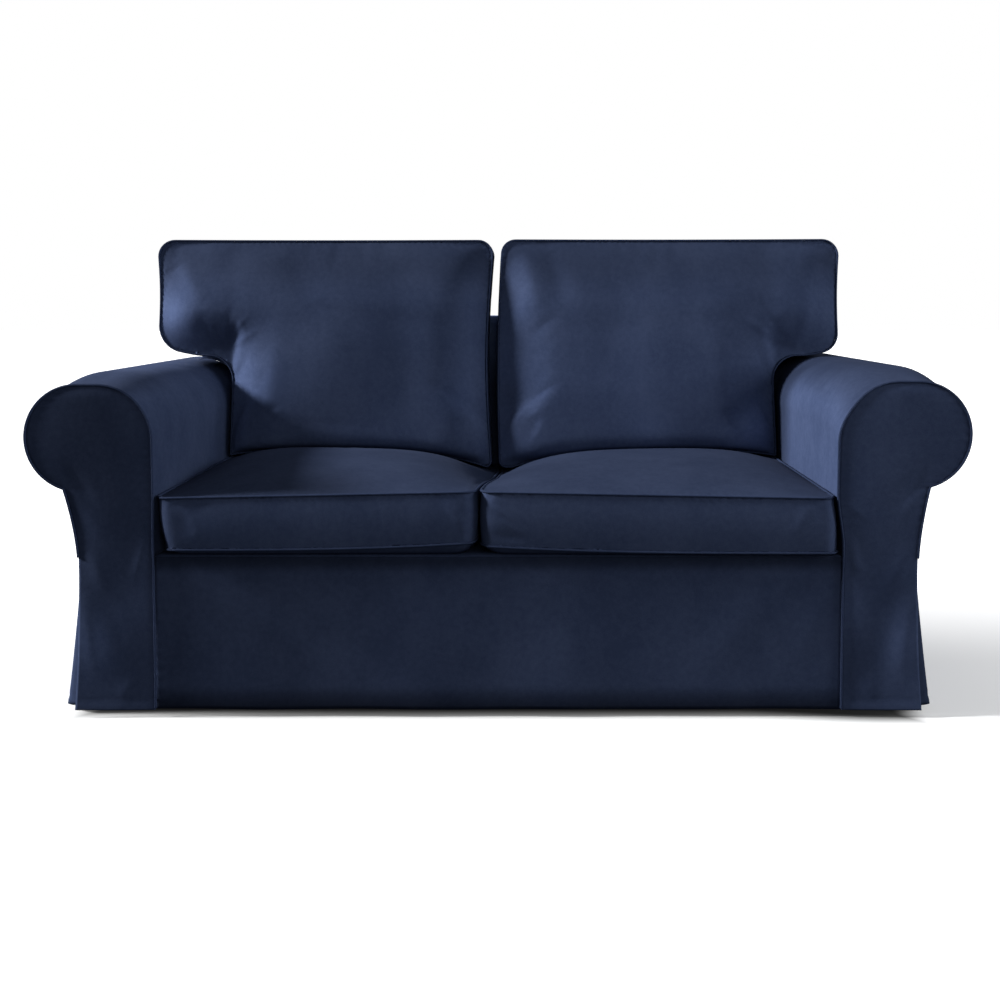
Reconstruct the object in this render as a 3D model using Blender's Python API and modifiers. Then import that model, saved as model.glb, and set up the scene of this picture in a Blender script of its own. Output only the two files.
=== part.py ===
"""Fitted velvet cover for a two-seat sofa with rolled arms, and its four filled cushions.

Every cut piece of cloth is a thin sheet of its own, every cushion is one filled solid, and every
seam that is piped has its own round piping.  The sofa that wears the cover is not built.

Metres; +X to the right as seen from the front, +Y to the rear, +Z up.  The origin is on the
floor line, under the middle of the cover.  Run with: blender --background --python part.py
"""
import math
from collections import namedtuple

import bpy
from mathutils import Vector

COLLECTION = "sofa_slipcover"

# Cloth, seams and piping
CLOTH = 0.002
GAP = 0.0003
SOFT_GAP = 0.001
PIPING_RADIUS = 0.0025
PIPING_STANDOFF = PIPING_RADIUS + 0.0004
DIAGONAL = math.sqrt(0.5)
PIPING_OUT = PIPING_STANDOFF * DIAGONAL

# The cover as a whole
FRONT_Y = -0.440
REAR_Y = 0.440
PANEL_Y = FRONT_Y + 0.003
DECK_Z = 0.295
HEM_RISE = 0.0015
HEM_WAVE = 17.0
HEM_WAVE_START = 1.0
SKIRT_TOP = 0.290
HEM_FLARE = 0.004
FREE_EDGE_FLARE = 1.5
SIDE_EDGE_BACK = 0.012

# Arms: an inside wall, a padded roll of two arcs with a flat between, and an outside wall.
# The two arms are padded a little differently.
Arm = namedtuple("Arm", "label side roll_z swell_top joint_x")
ARMS = (
    Arm("left", -1, roll_z=0.522, swell_top=0.017, joint_x=0.8215),
    Arm("right", 1, roll_z=0.528, swell_top=0.023, joint_x=0.8165),
)
SEAT_HALF = 0.656
ROLL_RADIUS = 0.100
ROLL_INNER_X = SEAT_HALF + ROLL_RADIUS
ROLL_OUTER_X = 0.792
ROLL_END_PAST_JOINT = math.radians(6)
SWELL_SIDE = 0.008
SWELL_RUN_FRONT = 0.17
SWELL_RUN_REAR = 0.07
# How far an arm front bellies out, and the shares of its height where that grows and fades
FRONT_PUFF = 0.004
PUFF_FULL_FROM, PUFF_FULL_TO = 0.5, 0.9

# Half width of the skirt by height:
# height, arm front panel, outside panel at its front edge, outside panel at its rear edge
SKIRT_EDGE = (
    (0.000, 0.808, 0.839, 0.822),
    (0.070, 0.803, 0.828, 0.817),
    (0.140, 0.800, 0.815, 0.809),
    (0.210, 0.798, 0.805, 0.803),
    (SKIRT_TOP, 0.797, 0.797, 0.797),
)
FRONT_COLUMN, SIDE_COLUMN, REAR_COLUMN = 1, 2, 3
# Above the skirt the outside panel curves out to the joint under the roll
NECK_SHARES = (0.30, 0.56, 0.80, 1.0)
NECK_CURVE = 1.6

# Soft folds of the skirt: place along the panel, half width, depth at the hem
FRONT_FOLDS = ((-0.47, 0.07, 0.005), (-0.16, 0.10, 0.004), (0.14, 0.08, 0.005), (0.45, 0.09, 0.004))
SIDE_FOLDS = ((-0.25, 0.07, 0.005), (0.04, 0.09, 0.006), (0.30, 0.06, 0.004))
REAR_FOLDS = ((-0.50, 0.10, 0.005), (-0.05, 0.12, 0.006), (0.42, 0.09, 0.005))

# Back of the sofa under the cover
BACK_FOOT_Y = 0.235
BACK_LEAN = math.atan(0.12)
BACK_TOP = 0.744
BACK_ROUND = 0.030
BACK_HALF = ROLL_INNER_X

# Seat cushions
JOINT_FRONT_X = -0.039
JOINT_TURN = 0.054
SEAT_FRONT_Y = -0.447
SEAT_REAR_Y = 0.229
SEAT_LEFT_X = -0.6415
SEAT_RIGHT_X = 0.638
SEAT_JOINT_HALF = 0.0055
SEAT_CORNER = 0.030
SEAT_SEAM_Z = 0.414
SEAT_FOOT_Z = 0.3017
SEAT_CROWN = 0.046
SEAT_TILT = 0.006
SEAT_SAG = 0.040
SAG_POWER = 4
SAG_FULL_ALONG = 0.6
CROWN_ACROSS = 3.4
CROWN_ALONG = 2.4
CROWN_SHIFT = 0.14
BORDER_BULGE = 0.004

# Back cushions
CUSHION_REST = {"left": 0.0090, "right": 0.0081}
FACE_Y = 0.088
FACE_Z = 0.420
FACE_LEAN = 0.155
FACE_CROWN = 0.040
CROWN_EDGE = 5
CROWN_BODY = 2.6
REAR_CROWN = 0.0035
REAR_OVERHANG = 0.014
OVERHANG_FROM = 0.780
OVERHANG_TO = 0.880
REAR_SEAM_CLEAR = 0.0060
BACK_CUSHION_CENTRES = {"left": (-0.400, 0.760), "right": (0.375, 0.760)}
# Corners seen from the front, anticlockwise: x, height, corner radius, draw-in of the next side
BACK_CUSHION_CORNERS = {
    "left": (
        (-0.640, 0.405, 0.030, 0.004),
        (-0.030, 0.405, 0.030, 0.012),
        (-0.028, 0.924, 0.032, 0.001),
        (-0.822, 0.924, 0.036, 0.003),
        (-0.812, 0.669, 0.062, -0.002),
        (-0.637, 0.646, 0.060, 0.000),
    ),
    "right": (
        (-0.008, 0.405, 0.030, 0.004),
        (0.640, 0.405, 0.030, 0.000),
        (0.634, 0.648, 0.060, -0.002),
        (0.789, 0.665, 0.044, 0.003),
        (0.797, 0.926, 0.036, 0.001),
        (-0.003, 0.925, 0.032, -0.006),
    ),
}

# Mesh steps
ARC_STEPS = 3
SIDE_SPACING = 0.13
PANEL_COLUMNS, PANEL_ROWS = 20, 5
ARM_FRONT_COLUMNS = 4
ARM_UPPER_ROWS = 8
ARM_DEPTH_STOPS = (0.0, 0.04, 0.10, 0.20, 0.42, 0.65, 0.86, 0.94, 1.0)
WALL_STEPS = 3
INNER_ARC_STEPS = 5
OUTER_ARC_STEPS = 9
BACK_COLUMNS = 8
REAR_COLUMNS = 12
REAR_ARC_DEGREES = (-45, -15, 15, 42, 64, 80)
GUSSET_COLUMNS, GUSSET_ROWS = 3, 4
DECK_COLUMNS, DECK_ROWS = 4, 8
# Rings of a cushion from its face's middle, over the border, to its other face's middle
SEAT_FACE_INSETS = (0.74, 0.50, 0.28, 0.11, 0.0)
SEAT_BASE_INSETS = (0.0, 0.12)
BACK_FACE_INSETS = (0.72, 0.47, 0.26, 0.10, 0.0)
BACK_REAR_INSETS = (0.0, 0.12, 0.45)

# Finishes: linear colour, roughness
FINISHES = {
    "cover_velvet": ((0.021, 0.029, 0.066, 1.0), 0.82),
    "cushion_velvet": ((0.026, 0.036, 0.080, 1.0), 0.80),
    "piping_velvet": ((0.017, 0.023, 0.052, 1.0), 0.85),
}


# ---------------------------------------------------------------- small helpers

def lerp(start, end, share):
    return start + (end - start) * share


def smooth(value, low, high):
    """0 below low, 1 above high, and an even S between them."""
    share = min(1.0, max(0.0, (value - low) / (high - low)))
    return share * share * (3 - 2 * share)


def folds(place, height, table):
    """How far soft folds stand out from a skirt at one place and height."""
    hang = 1 - smooth(height, 0.0, SKIRT_TOP)
    return hang * sum(depth * math.exp(-((place - at) / width) ** 2) for at, width, depth in table)


def hem_flare(height):
    """How far the skirt leans outwards at a height."""
    return HEM_FLARE * max(0.0, 1 - height / SKIRT_TOP) ** 2


def hem_height(place):
    """The hem is a little uneven along its length."""
    return HEM_RISE * (1 - math.cos(HEM_WAVE * place + HEM_WAVE_START)) / 2


def skirt_height(share, place, top):
    """Height of a skirt point, from its uneven hem at share 0 to its top at share 1."""
    return lerp(hem_height(place), top, share)


# ---------------------------------------------------------------- Blender helpers

def make_material(name):
    colour, roughness = FINISHES[name]
    material = bpy.data.materials.new(name)
    material.use_nodes = True
    shader = material.node_tree.nodes["Principled BSDF"]
    shader.inputs["Base Color"].default_value = colour
    shader.inputs["Roughness"].default_value = roughness
    shader.inputs["Metallic"].default_value = 0.0
    return material


def finish_object(thing, name, material):
    """Name an object, give it its finish and file it in the cover's collection."""
    thing.name = name
    thing.data.name = name
    thing.data.materials.clear()
    thing.data.materials.append(make_material(material))
    for owner in list(thing.users_collection):
        owner.objects.unlink(thing)
    bpy.data.collections[COLLECTION].objects.link(thing)
    return thing


def add_sheet(name, columns, rows, place, material, flip=False):
    """A cut piece of cloth: a grid laid out by place(across, up), given its thickness.

    The outer face is the one that place lays out; the thickness lies behind it.
    """
    bpy.ops.mesh.primitive_grid_add(x_subdivisions=columns, y_subdivisions=rows, size=2.0)
    sheet = bpy.context.object
    for vertex in sheet.data.vertices:
        across = (vertex.co.x + 1) / 2
        up = (vertex.co.y + 1) / 2
        vertex.co = place(across, up)
    if flip:
        sheet.data.flip_normals()
    thickness = sheet.modifiers.new("cloth", "SOLIDIFY")
    thickness.thickness = CLOTH
    thickness.offset = -1.0
    thickness.use_even_offset = True
    return finish_object(sheet, name, material)


def add_piping(name, points, closed):
    """Round piping along a line of points."""
    curve = bpy.data.curves.new(name, "CURVE")
    curve.dimensions = "3D"
    curve.twist_mode = "MINIMUM"
    curve.bevel_depth = PIPING_RADIUS
    curve.bevel_resolution = 1
    curve.use_fill_caps = not closed
    spline = curve.splines.new("POLY")
    spline.points.add(len(points) - 1)
    for spot, point in zip(spline.points, points):
        spot.co = (*point, 1.0)
    spline.use_cyclic_u = closed
    piping = bpy.data.objects.new(name, curve)
    bpy.data.collections[COLLECTION].objects.link(piping)
    return finish_object(piping, name, "piping_velvet")


def add_cushion(name, segments, rings, place):
    """A filled cushion: a ball whose rings are laid out by place(ring, segment).

    Ring 0 is the middle of its face and the last ring is the middle of its other face.
    """
    bpy.ops.mesh.primitive_uv_sphere_add(segments=segments, ring_count=rings, radius=1.0)
    cushion = bpy.context.object
    for vertex in cushion.data.vertices:
        ring = round(math.acos(max(-1.0, min(1.0, vertex.co.z))) / math.pi * rings)
        turn = math.atan2(vertex.co.y, vertex.co.x) / (2 * math.pi) * segments
        vertex.co = place(ring, round(turn) % segments)
    cushion.data.shade_smooth()
    return finish_object(cushion, name, "cushion_velvet")


# ---------------------------------------------------------------- outlines

def rounded_outline(corners):
    """Points round a closed anticlockwise outline of rounded corners and drawn-in sides."""
    arcs = []
    for index, (across, up, radius, _) in enumerate(corners):
        here = Vector((across, up))
        arriving = (here - Vector(corners[index - 1][:2])).normalized()
        leaving = (Vector(corners[(index + 1) % len(corners)][:2]) - here).normalized()
        turn = math.atan2(arriving.cross(leaving), arriving.dot(leaving))
        start = here - arriving * radius * math.tan(abs(turn) / 2)
        towards_centre = Vector((-arriving.y, arriving.x)) * math.copysign(radius, turn)
        centre = start + towards_centre
        arc = []
        for step in range(ARC_STEPS + 1):
            angle = turn * step / ARC_STEPS
            spoke = -towards_centre
            arc.append(centre + Vector((
                spoke.x * math.cos(angle) - spoke.y * math.sin(angle),
                spoke.x * math.sin(angle) + spoke.y * math.cos(angle),
            )))
        arcs.append(arc)
    points = []
    for index, arc in enumerate(arcs):
        points.extend(arc)
        start, end = arc[-1], arcs[(index + 1) % len(arcs)][0]
        run = end - start
        inwards = Vector((-run.y, run.x)).normalized() * corners[index][3]
        steps = max(1, round(run.length / SIDE_SPACING))
        for step in range(1, steps):
            share = step / steps
            points.append(start + run * share + inwards * math.sin(math.pi * share))
    return points


def corner_normals(points, closed=True):
    """The outward direction at each point of an anticlockwise line, mitred at the corners."""
    count = len(points)
    normals = []
    for index, point in enumerate(points):
        before = points[index - 1] if closed or index else None
        after = points[(index + 1) % count] if closed or index < count - 1 else None
        runs = []
        if before is not None:
            runs.append((point - before).normalized())
        if after is not None:
            runs.append((after - point).normalized())
        sides = [Vector((run.y, -run.x)) for run in runs]
        middle = sum(sides, Vector((0, 0))).normalized()
        normals.append(middle / max(0.5, middle.dot(sides[0])))
    return normals


# ---------------------------------------------------------------- arms

def swell(y):
    """How full the arm's padding is at a depth: none at either end of the arm."""
    return smooth(y, FRONT_Y, FRONT_Y + SWELL_RUN_FRONT) * smooth(-y, -REAR_Y, SWELL_RUN_REAR - REAR_Y)


def roll_radius(arm, angle, y):
    """Radius of the roll at an angle from level, with the padding under the cloth."""
    top = max(0.0, math.sin(angle))
    return ROLL_RADIUS + swell(y) * lerp(SWELL_SIDE, arm.swell_top, top)


def arm_inside_x(y):
    """Half the clear width between the arms at a depth."""
    return SEAT_HALF - swell(y) * SWELL_SIDE


def arm_stop_y(stop):
    """Depth of one of the arm's stops between its front and rear seams."""
    return lerp(FRONT_Y + CLOTH + GAP, REAR_Y - CLOTH - GAP, stop)


def arm_top_z(arm, y):
    """Height of the arm's top, straight between the arm's stops."""
    stops = [arm_stop_y(stop) for stop in ARM_DEPTH_STOPS]
    heights = [arm.roll_z + roll_radius(arm, math.pi / 2, stop) for stop in stops]
    for index in range(1, len(stops)):
        if y <= stops[index]:
            share = (y - stops[index - 1]) / (stops[index] - stops[index - 1])
            return lerp(heights[index - 1], heights[index], share)
    return heights[-1]


def joint_angle(arm):
    """Angle on the roll at which the outside panel is sewn on."""
    return -math.acos((arm.joint_x - ROLL_OUTER_X) / ROLL_RADIUS)


def joint_z(arm):
    return arm.roll_z + ROLL_RADIUS * math.sin(joint_angle(arm))


def side_rows(arm, column):
    """Rows of the cover's side edge from the hem to the joint under the roll: height, half width."""
    rows = [(row[0], row[column]) for row in SKIRT_EDGE]
    top, narrow = rows[-1]
    for share in NECK_SHARES:
        out = (arm.joint_x - narrow) * share ** NECK_CURVE
        rows.append((lerp(top, joint_z(arm), share), narrow + out))
    return rows


def arm_stations(arm):
    """Stops round the arm, from the deck up the inside and over the roll: kind, value."""
    stations = [("wall", step / WALL_STEPS) for step in range(WALL_STEPS)]
    for step in range(INNER_ARC_STEPS + 1):
        stations.append(("inner", lerp(math.pi, math.pi / 2, step / INNER_ARC_STEPS)))
    for step in range(OUTER_ARC_STEPS + 1):
        end = joint_angle(arm) - ROLL_END_PAST_JOINT
        stations.append(("outer", lerp(math.pi / 2, end, step / OUTER_ARC_STEPS)))
    return stations


def arm_point(arm, station, y):
    """Where the outer face of the arm's cloth is at a stop round the arm: x, z."""
    kind, value = station
    if kind == "wall":
        return arm_inside_x(y), lerp(DECK_Z - CLOTH, arm.roll_z, value)
    centre = ROLL_INNER_X if kind == "inner" else ROLL_OUTER_X
    radius = roll_radius(arm, value, y)
    return centre + radius * math.cos(value), arm.roll_z + radius * math.sin(value)


def arm_front_edges(arm):
    """The arm front's two edges from the hem to the top, in rows: inner points, outer points."""
    outer = [Vector((half, height)) for height, half in side_rows(arm, FRONT_COLUMN)]
    inner = [Vector((SEAT_HALF, point.y)) for point in outer]
    neck = joint_z(arm)
    straight = arm.roll_z - neck
    length = straight + ROLL_RADIUS * math.pi / 2
    for row in range(1, ARM_UPPER_ROWS + 1):
        share = row / ARM_UPPER_ROWS
        gone = length * share
        if gone < straight:
            inner.append(Vector((SEAT_HALF, neck + gone)))
        else:
            angle = math.pi - (gone - straight) / ROLL_RADIUS
            inner.append(Vector((
                ROLL_INNER_X + ROLL_RADIUS * math.cos(angle),
                arm.roll_z + ROLL_RADIUS * math.sin(angle),
            )))
        angle = lerp(joint_angle(arm), math.pi / 2, share)
        outer.append(Vector((
            ROLL_OUTER_X + ROLL_RADIUS * math.cos(angle),
            arm.roll_z + ROLL_RADIUS * math.sin(angle),
        )))
    return inner, outer


def add_arm_front(arm):
    inner, outer = arm_front_edges(arm)
    rows = len(inner) - 1

    def place(across, up):
        row = round(up * rows)
        x, z = inner[row].lerp(outer[row], across)
        if row == 0:
            z = hem_height(x)
        belly = smooth(up, 0.0, PUFF_FULL_FROM) * (1 - smooth(up, PUFF_FULL_TO, 1.0))
        puff = FRONT_PUFF * math.sin(math.pi * across) * belly
        flare = hem_flare(z) * (1 + FREE_EDGE_FLARE * across)
        return Vector((arm.side * x, FRONT_Y - puff - flare, z))

    flip = arm.side < 0
    add_sheet(f"arm_front_{arm.label}", ARM_FRONT_COLUMNS, rows, place, "cover_velvet", flip)


def add_arm_inner(arm):
    stations = arm_stations(arm)
    front = FRONT_Y + CLOTH + GAP
    rear = REAR_Y - CLOTH - GAP

    def place(along, up):
        stop = ARM_DEPTH_STOPS[round(along * (len(ARM_DEPTH_STOPS) - 1))]
        station = stations[round(up * (len(stations) - 1))]
        end = rear
        hidden = station[0] == "wall" or (station[0] == "inner" and station[1] > math.pi / 2)
        if hidden:
            end = back_face_y(arm_point(arm, station, BACK_FOOT_Y)[1]) + CLOTH
        y = lerp(front, end, stop)
        x, z = arm_point(arm, station, y)
        return Vector((arm.side * x, y, z))

    columns = len(ARM_DEPTH_STOPS) - 1
    rows = len(stations) - 1
    add_sheet(f"arm_inner_{arm.label}", columns, rows, place, "cover_velvet", flip=arm.side > 0)


def under_roll_z(arm, x, y):
    """Height just under the roll at a place, leaving the seam's gap."""
    radius = roll_radius(arm, joint_angle(arm), y) + GAP
    return arm.roll_z - math.sqrt(radius ** 2 - (x - ROLL_OUTER_X) ** 2)


def add_arm_outer(arm):
    front_rows = side_rows(arm, SIDE_COLUMN)
    rear_halves = [half for _, half in side_rows(arm, REAR_COLUMN)]
    rows = len(front_rows) - 1
    rear = REAR_Y - CLOTH - GAP

    def place(along, up):
        row = round(up * rows)
        height, half = front_rows[row]
        front = FRONT_Y + CLOTH + GAP + SIDE_EDGE_BACK * (1 - smooth(height, 0.0, SKIRT_TOP))
        stop = ARM_DEPTH_STOPS[round(along * (len(ARM_DEPTH_STOPS) - 1))]
        y = lerp(front, rear, stop)
        x = lerp(half, rear_halves[row], stop)
        x += folds(y, height, SIDE_FOLDS) * math.sin(math.pi * stop)
        z = skirt_height(height / joint_z(arm), y, under_roll_z(arm, arm.joint_x - CLOTH, y))
        return Vector((arm.side * x, y, z))

    columns = len(ARM_DEPTH_STOPS) - 1
    add_sheet(f"arm_outer_{arm.label}", columns, rows, place, "cover_velvet", flip=arm.side < 0)


def add_arm_piping(arm):
    inner, outer = arm_front_edges(arm)
    hem = HEM_RISE + PIPING_RADIUS
    inner[0].y = hem
    upper_outer = [point for point in outer if point.y >= SKIRT_TOP]
    line = inner + upper_outer[::-1]
    outwards = [-normal for normal in corner_normals(line, closed=False)]
    points = []
    for point, normal in zip(line, outwards):
        x, z = point + normal * PIPING_OUT
        points.append((arm.side * x, FRONT_Y - hem_flare(point.y) - PIPING_OUT, z))
    add_piping(f"piping_arm_{arm.label}", points, closed=False)


# ---------------------------------------------------------------- front, deck and back

def add_front_panel():
    half = SEAT_HALF - GAP

    def place(across, up):
        x = lerp(-half, half, across)
        z = skirt_height(up, x, DECK_Z)
        hang = folds(x, z, FRONT_FOLDS) * math.sin(math.pi * across)
        return Vector((x, PANEL_Y - hem_flare(z) - hang, z))

    add_sheet("front_panel", PANEL_COLUMNS, PANEL_ROWS, place, "cover_velvet")


def add_seat_deck():
    front = PANEL_Y + CLOTH + GAP
    rear = BACK_FOOT_Y - GAP

    def place(across, up):
        y = lerp(front, rear, up)
        half = arm_inside_x(y) - 2 * SOFT_GAP
        return Vector((lerp(-half, half, across), y, DECK_Z))

    add_sheet("seat_deck", DECK_COLUMNS, DECK_ROWS, place, "cover_velvet")


def back_round_centre():
    """Centre of the rounded top front edge of the back: y, z."""
    z = BACK_TOP - BACK_ROUND
    tangent_z = z + BACK_ROUND * math.sin(BACK_LEAN)
    tangent_y = BACK_FOOT_Y + math.tan(BACK_LEAN) * (tangent_z - DECK_Z)
    return tangent_y + BACK_ROUND * math.cos(BACK_LEAN), z


def back_face_y(z, inset=0.0):
    """Depth of the face of the back at a height, or of a face set in behind it."""
    centre_y, centre_z = back_round_centre()
    if z > centre_z + BACK_ROUND * math.sin(BACK_LEAN):
        radius = BACK_ROUND - inset
        return centre_y - math.sqrt(max(0.0, radius ** 2 - (z - centre_z) ** 2))
    return BACK_FOOT_Y + math.tan(BACK_LEAN) * (z - DECK_Z) + inset / math.cos(BACK_LEAN)


def back_rows(arm):
    """Rows of the inside back's edge at one arm, from the deck over the top: half width, y, z."""
    rows = []
    for share in (0.0, 0.5, 1.0):
        z = lerp(DECK_Z + GAP, arm.roll_z, share)
        y = back_face_y(z)
        rows.append((arm_inside_x(y) - SOFT_GAP, y, z))
    for step in range(1, INNER_ARC_STEPS + 1):
        angle = lerp(math.pi, math.pi / 2, step / INNER_ARC_STEPS)
        radius = roll_radius(arm, angle, BACK_FOOT_Y) + SOFT_GAP
        z = arm.roll_z + radius * math.sin(angle)
        rows.append((ROLL_INNER_X + radius * math.cos(angle), back_face_y(z), z))
    centre_y, centre_z = back_round_centre()
    for step in range(ARC_STEPS + 1):
        angle = lerp(math.pi - BACK_LEAN, math.pi / 2, step / ARC_STEPS)
        y = centre_y + BACK_ROUND * math.cos(angle)
        rows.append((BACK_HALF, y, centre_z + BACK_ROUND * math.sin(angle)))
    rows.append((BACK_HALF, REAR_Y - CLOTH - GAP, BACK_TOP))
    return rows


def edge_to_edge(rows_of_arm, row, across):
    """A point between the left and right edges of a back panel."""
    left, right = (Vector((arm.side, 1, 1)) * Vector(rows_of_arm(arm)[row]) for arm in ARMS)
    return left.lerp(right, across)


def add_inside_back():
    rows = len(back_rows(ARMS[0])) - 1

    def place(across, up):
        return edge_to_edge(back_rows, round(up * rows), across)

    add_sheet("inside_back", BACK_COLUMNS, rows, place, "cover_velvet")


def add_back_side(arm):
    inset = CLOTH + GAP
    top = BACK_TOP - inset
    rear = REAR_Y - inset

    def place(along, up):
        foot = arm_top_z(arm, BACK_FOOT_Y) + SOFT_GAP
        front = back_face_y(lerp(foot, top, up), inset + GAP)
        last_stop = arm_stop_y(ARM_DEPTH_STOPS[-2])
        stops = (front, lerp(front, last_stop, 0.5), last_stop, rear)
        y = stops[round(along * (len(stops) - 1))]
        z = lerp(arm_top_z(arm, y) + SOFT_GAP, top, up)
        return Vector((arm.side * BACK_HALF, y, z))

    flip = arm.side < 0
    add_sheet(f"back_side_{arm.label}", GUSSET_COLUMNS, GUSSET_ROWS, place, "cover_velvet", flip)


def rear_rows(arm):
    """Rows of the outside back's edge at one arm, from the hem to the top: half width, y, z."""
    rows = [(half, REAR_Y, height) for height, half in side_rows(arm, REAR_COLUMN)]
    for degrees in REAR_ARC_DEGREES:
        angle = math.radians(degrees)
        half = ROLL_OUTER_X + ROLL_RADIUS * math.cos(angle)
        rows.append((half, REAR_Y, arm.roll_z + ROLL_RADIUS * math.sin(angle)))
    arm_top = arm.roll_z + ROLL_RADIUS
    rows.append((BACK_HALF + SOFT_GAP, REAR_Y, arm_top))
    rows.append((BACK_HALF, REAR_Y, lerp(arm_top, BACK_TOP, 0.5)))
    rows.append((BACK_HALF, REAR_Y, BACK_TOP))
    return rows


def add_outside_back():
    rows = len(rear_rows(ARMS[0])) - 1

    def place(across, up):
        point = edge_to_edge(rear_rows, round(up * rows), across)
        if point.z == 0.0:
            point.z = hem_height(point.x)
        hang = hem_flare(point.z) + folds(point.x, point.z, REAR_FOLDS)
        point.y += hang * math.sin(math.pi * across)
        return point

    add_sheet("outside_back", REAR_COLUMNS, rows, place, "cover_velvet", flip=True)


# ---------------------------------------------------------------- seat cushions

def seat_joint_x(y):
    """The line where the two seat cushions meet runs a little askew."""
    return JOINT_FRONT_X + JOINT_TURN * (y - SEAT_FRONT_Y)


def seat_span(label, y):
    """The seams of a seat cushion at a depth: arm side, joint side."""
    if label == "left":
        return SEAT_LEFT_X, seat_joint_x(y) - SEAT_JOINT_HALF
    return SEAT_RIGHT_X, seat_joint_x(y) + SEAT_JOINT_HALF


def seat_shares(label, x, y):
    """Place on a seat cushion: across from arm (-1) to joint (1), along from front (-1) to rear (1)."""
    arm_x, joint_x = seat_span(label, y)
    across = 2 * (x - arm_x) / (joint_x - arm_x) - 1
    along = 2 * (y - SEAT_FRONT_Y) / (SEAT_REAR_Y - SEAT_FRONT_Y) - 1
    return max(-1.0, min(1.0, across)), max(-1.0, min(1.0, along))


def seat_seam_z(label, x, y):
    """Height of the top seam: high at the joint in front, sagging into the joint behind."""
    across, along = seat_shares(label, x, y)
    sag = SEAT_SAG * ((1 + across) / 2) ** SAG_POWER * smooth(along, -1.0, SAG_FULL_ALONG)
    return SEAT_SEAM_Z + SEAT_TILT * across * (1 - along) / 2 - sag


def seat_top_z(x, y):
    """Height of the crowned top of the seat cushions."""
    label = "left" if x < seat_joint_x(y) else "right"
    across, along = seat_shares(label, x, y)
    shifted = across + CROWN_SHIFT * (1 - across ** 2)
    crown = (1 - abs(shifted) ** CROWN_ACROSS) * (1 - abs(along) ** CROWN_ALONG)
    return seat_seam_z(label, x, y) + SEAT_CROWN * crown


def seat_outline(label):
    arm_front, joint_front = seat_span(label, SEAT_FRONT_Y)
    arm_rear, joint_rear = seat_span(label, SEAT_REAR_Y)
    corners = [
        (arm_front, SEAT_FRONT_Y, SEAT_CORNER, 0.0),
        (joint_front, SEAT_FRONT_Y, SEAT_CORNER, 0.0),
        (joint_rear, SEAT_REAR_Y, SEAT_CORNER, 0.0),
        (arm_rear, SEAT_REAR_Y, SEAT_CORNER, 0.0),
    ]
    if label == "right":
        corners = [corners[1], corners[0], corners[3], corners[2]]
    return rounded_outline(corners)


def add_seat_cushion(label):
    outline = seat_outline(label)
    normals = corner_normals(outline)
    middle = sum(outline, Vector((0, 0))) / len(outline)
    face_rings = len(SEAT_FACE_INSETS)
    base_rings = len(SEAT_BASE_INSETS)
    last = face_rings + base_rings + 2

    def seams(point):
        x, y = point
        return seat_seam_z(label, x, y), SEAT_FOOT_Z

    def place(ring, segment):
        edge = outline[segment]
        top, foot = seams(edge)
        if ring == 0:
            return Vector((middle.x, middle.y, seat_top_z(*middle)))
        if ring <= face_rings:
            point = edge.lerp(middle, SEAT_FACE_INSETS[ring - 1])
            return Vector((point.x, point.y, seat_top_z(*point) if ring < face_rings else top))
        if ring == face_rings + 1:
            point = edge + normals[segment] * BORDER_BULGE
            return Vector((point.x, point.y, lerp(foot, top, 0.5)))
        if ring < last:
            inset = SEAT_BASE_INSETS[ring - face_rings - 2]
            point = edge.lerp(middle, inset)
            return Vector((point.x, point.y, foot if inset == 0 else DECK_Z + GAP))
        return Vector((middle.x, middle.y, DECK_Z + GAP))

    add_cushion(f"seat_cushion_{label}", len(outline), last, place)
    top_line = []
    foot_line = []
    for point, normal in zip(outline, normals):
        top, foot = seams(point)
        x, y = point + normal * PIPING_OUT
        top_line.append((x, y, top + PIPING_OUT))
        foot_line.append((x, y, foot - PIPING_OUT))
    add_piping(f"piping_seat_top_{label}", top_line, closed=True)
    add_piping(f"piping_seat_base_{label}", foot_line, closed=True)


# ---------------------------------------------------------------- back cushions

def face_seam_y(z):
    """Depth of a back cushion's front seam at a height."""
    return FACE_Y + FACE_LEAN * (z - FACE_Z)


def rear_seam_y(z):
    """Depth of a back cushion's rear seam: along the inside back and on above it."""
    return BACK_FOOT_Y + math.tan(BACK_LEAN) * (z - DECK_Z) - REAR_SEAM_CLEAR


def lying_z(label, x, y):
    """The lowest that a back cushion's border may reach over the crowned seat."""
    return seat_top_z(x, y) + CUSHION_REST[label]


def seated_outline(label, depth):
    """A back cushion's outline with its lower side raised to lie along the crowned seat."""
    seated = []
    for point in rounded_outline(BACK_CUSHION_CORNERS[label]):
        rest = lying_z(label, point.x, depth(point.y))
        seated.append(Vector((point.x, max(point.y, rest))))
    return seated


def fullness_between(value, start, end):
    """1 midway between two seams, falling to 0 at them."""
    share = 2 * (value - start) / (end - start) - 1
    return 1 - min(1.0, abs(share)) ** CROWN_BODY


def face_fullness(label, x, z):
    """How full a back cushion's face is: its body and its upper band with the ear, blended."""
    bottom_arm, bottom_joint, top_joint, top_ear, ear_foot, notch = BACK_CUSHION_CORNERS[label]
    if label == "right":
        bottom_joint, bottom_arm, notch, ear_foot, top_ear, top_joint = BACK_CUSHION_CORNERS[label]
    upright = fullness_between(z, bottom_arm[1], top_joint[1])
    body = fullness_between(x, bottom_arm[0], bottom_joint[0]) * upright
    band = fullness_between(x, top_ear[0], top_joint[0])
    band *= fullness_between(z, min(ear_foot[1], z), top_joint[1])
    return (body ** 2 + band ** 2 - body ** 2 * band ** 2) ** 0.5


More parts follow.
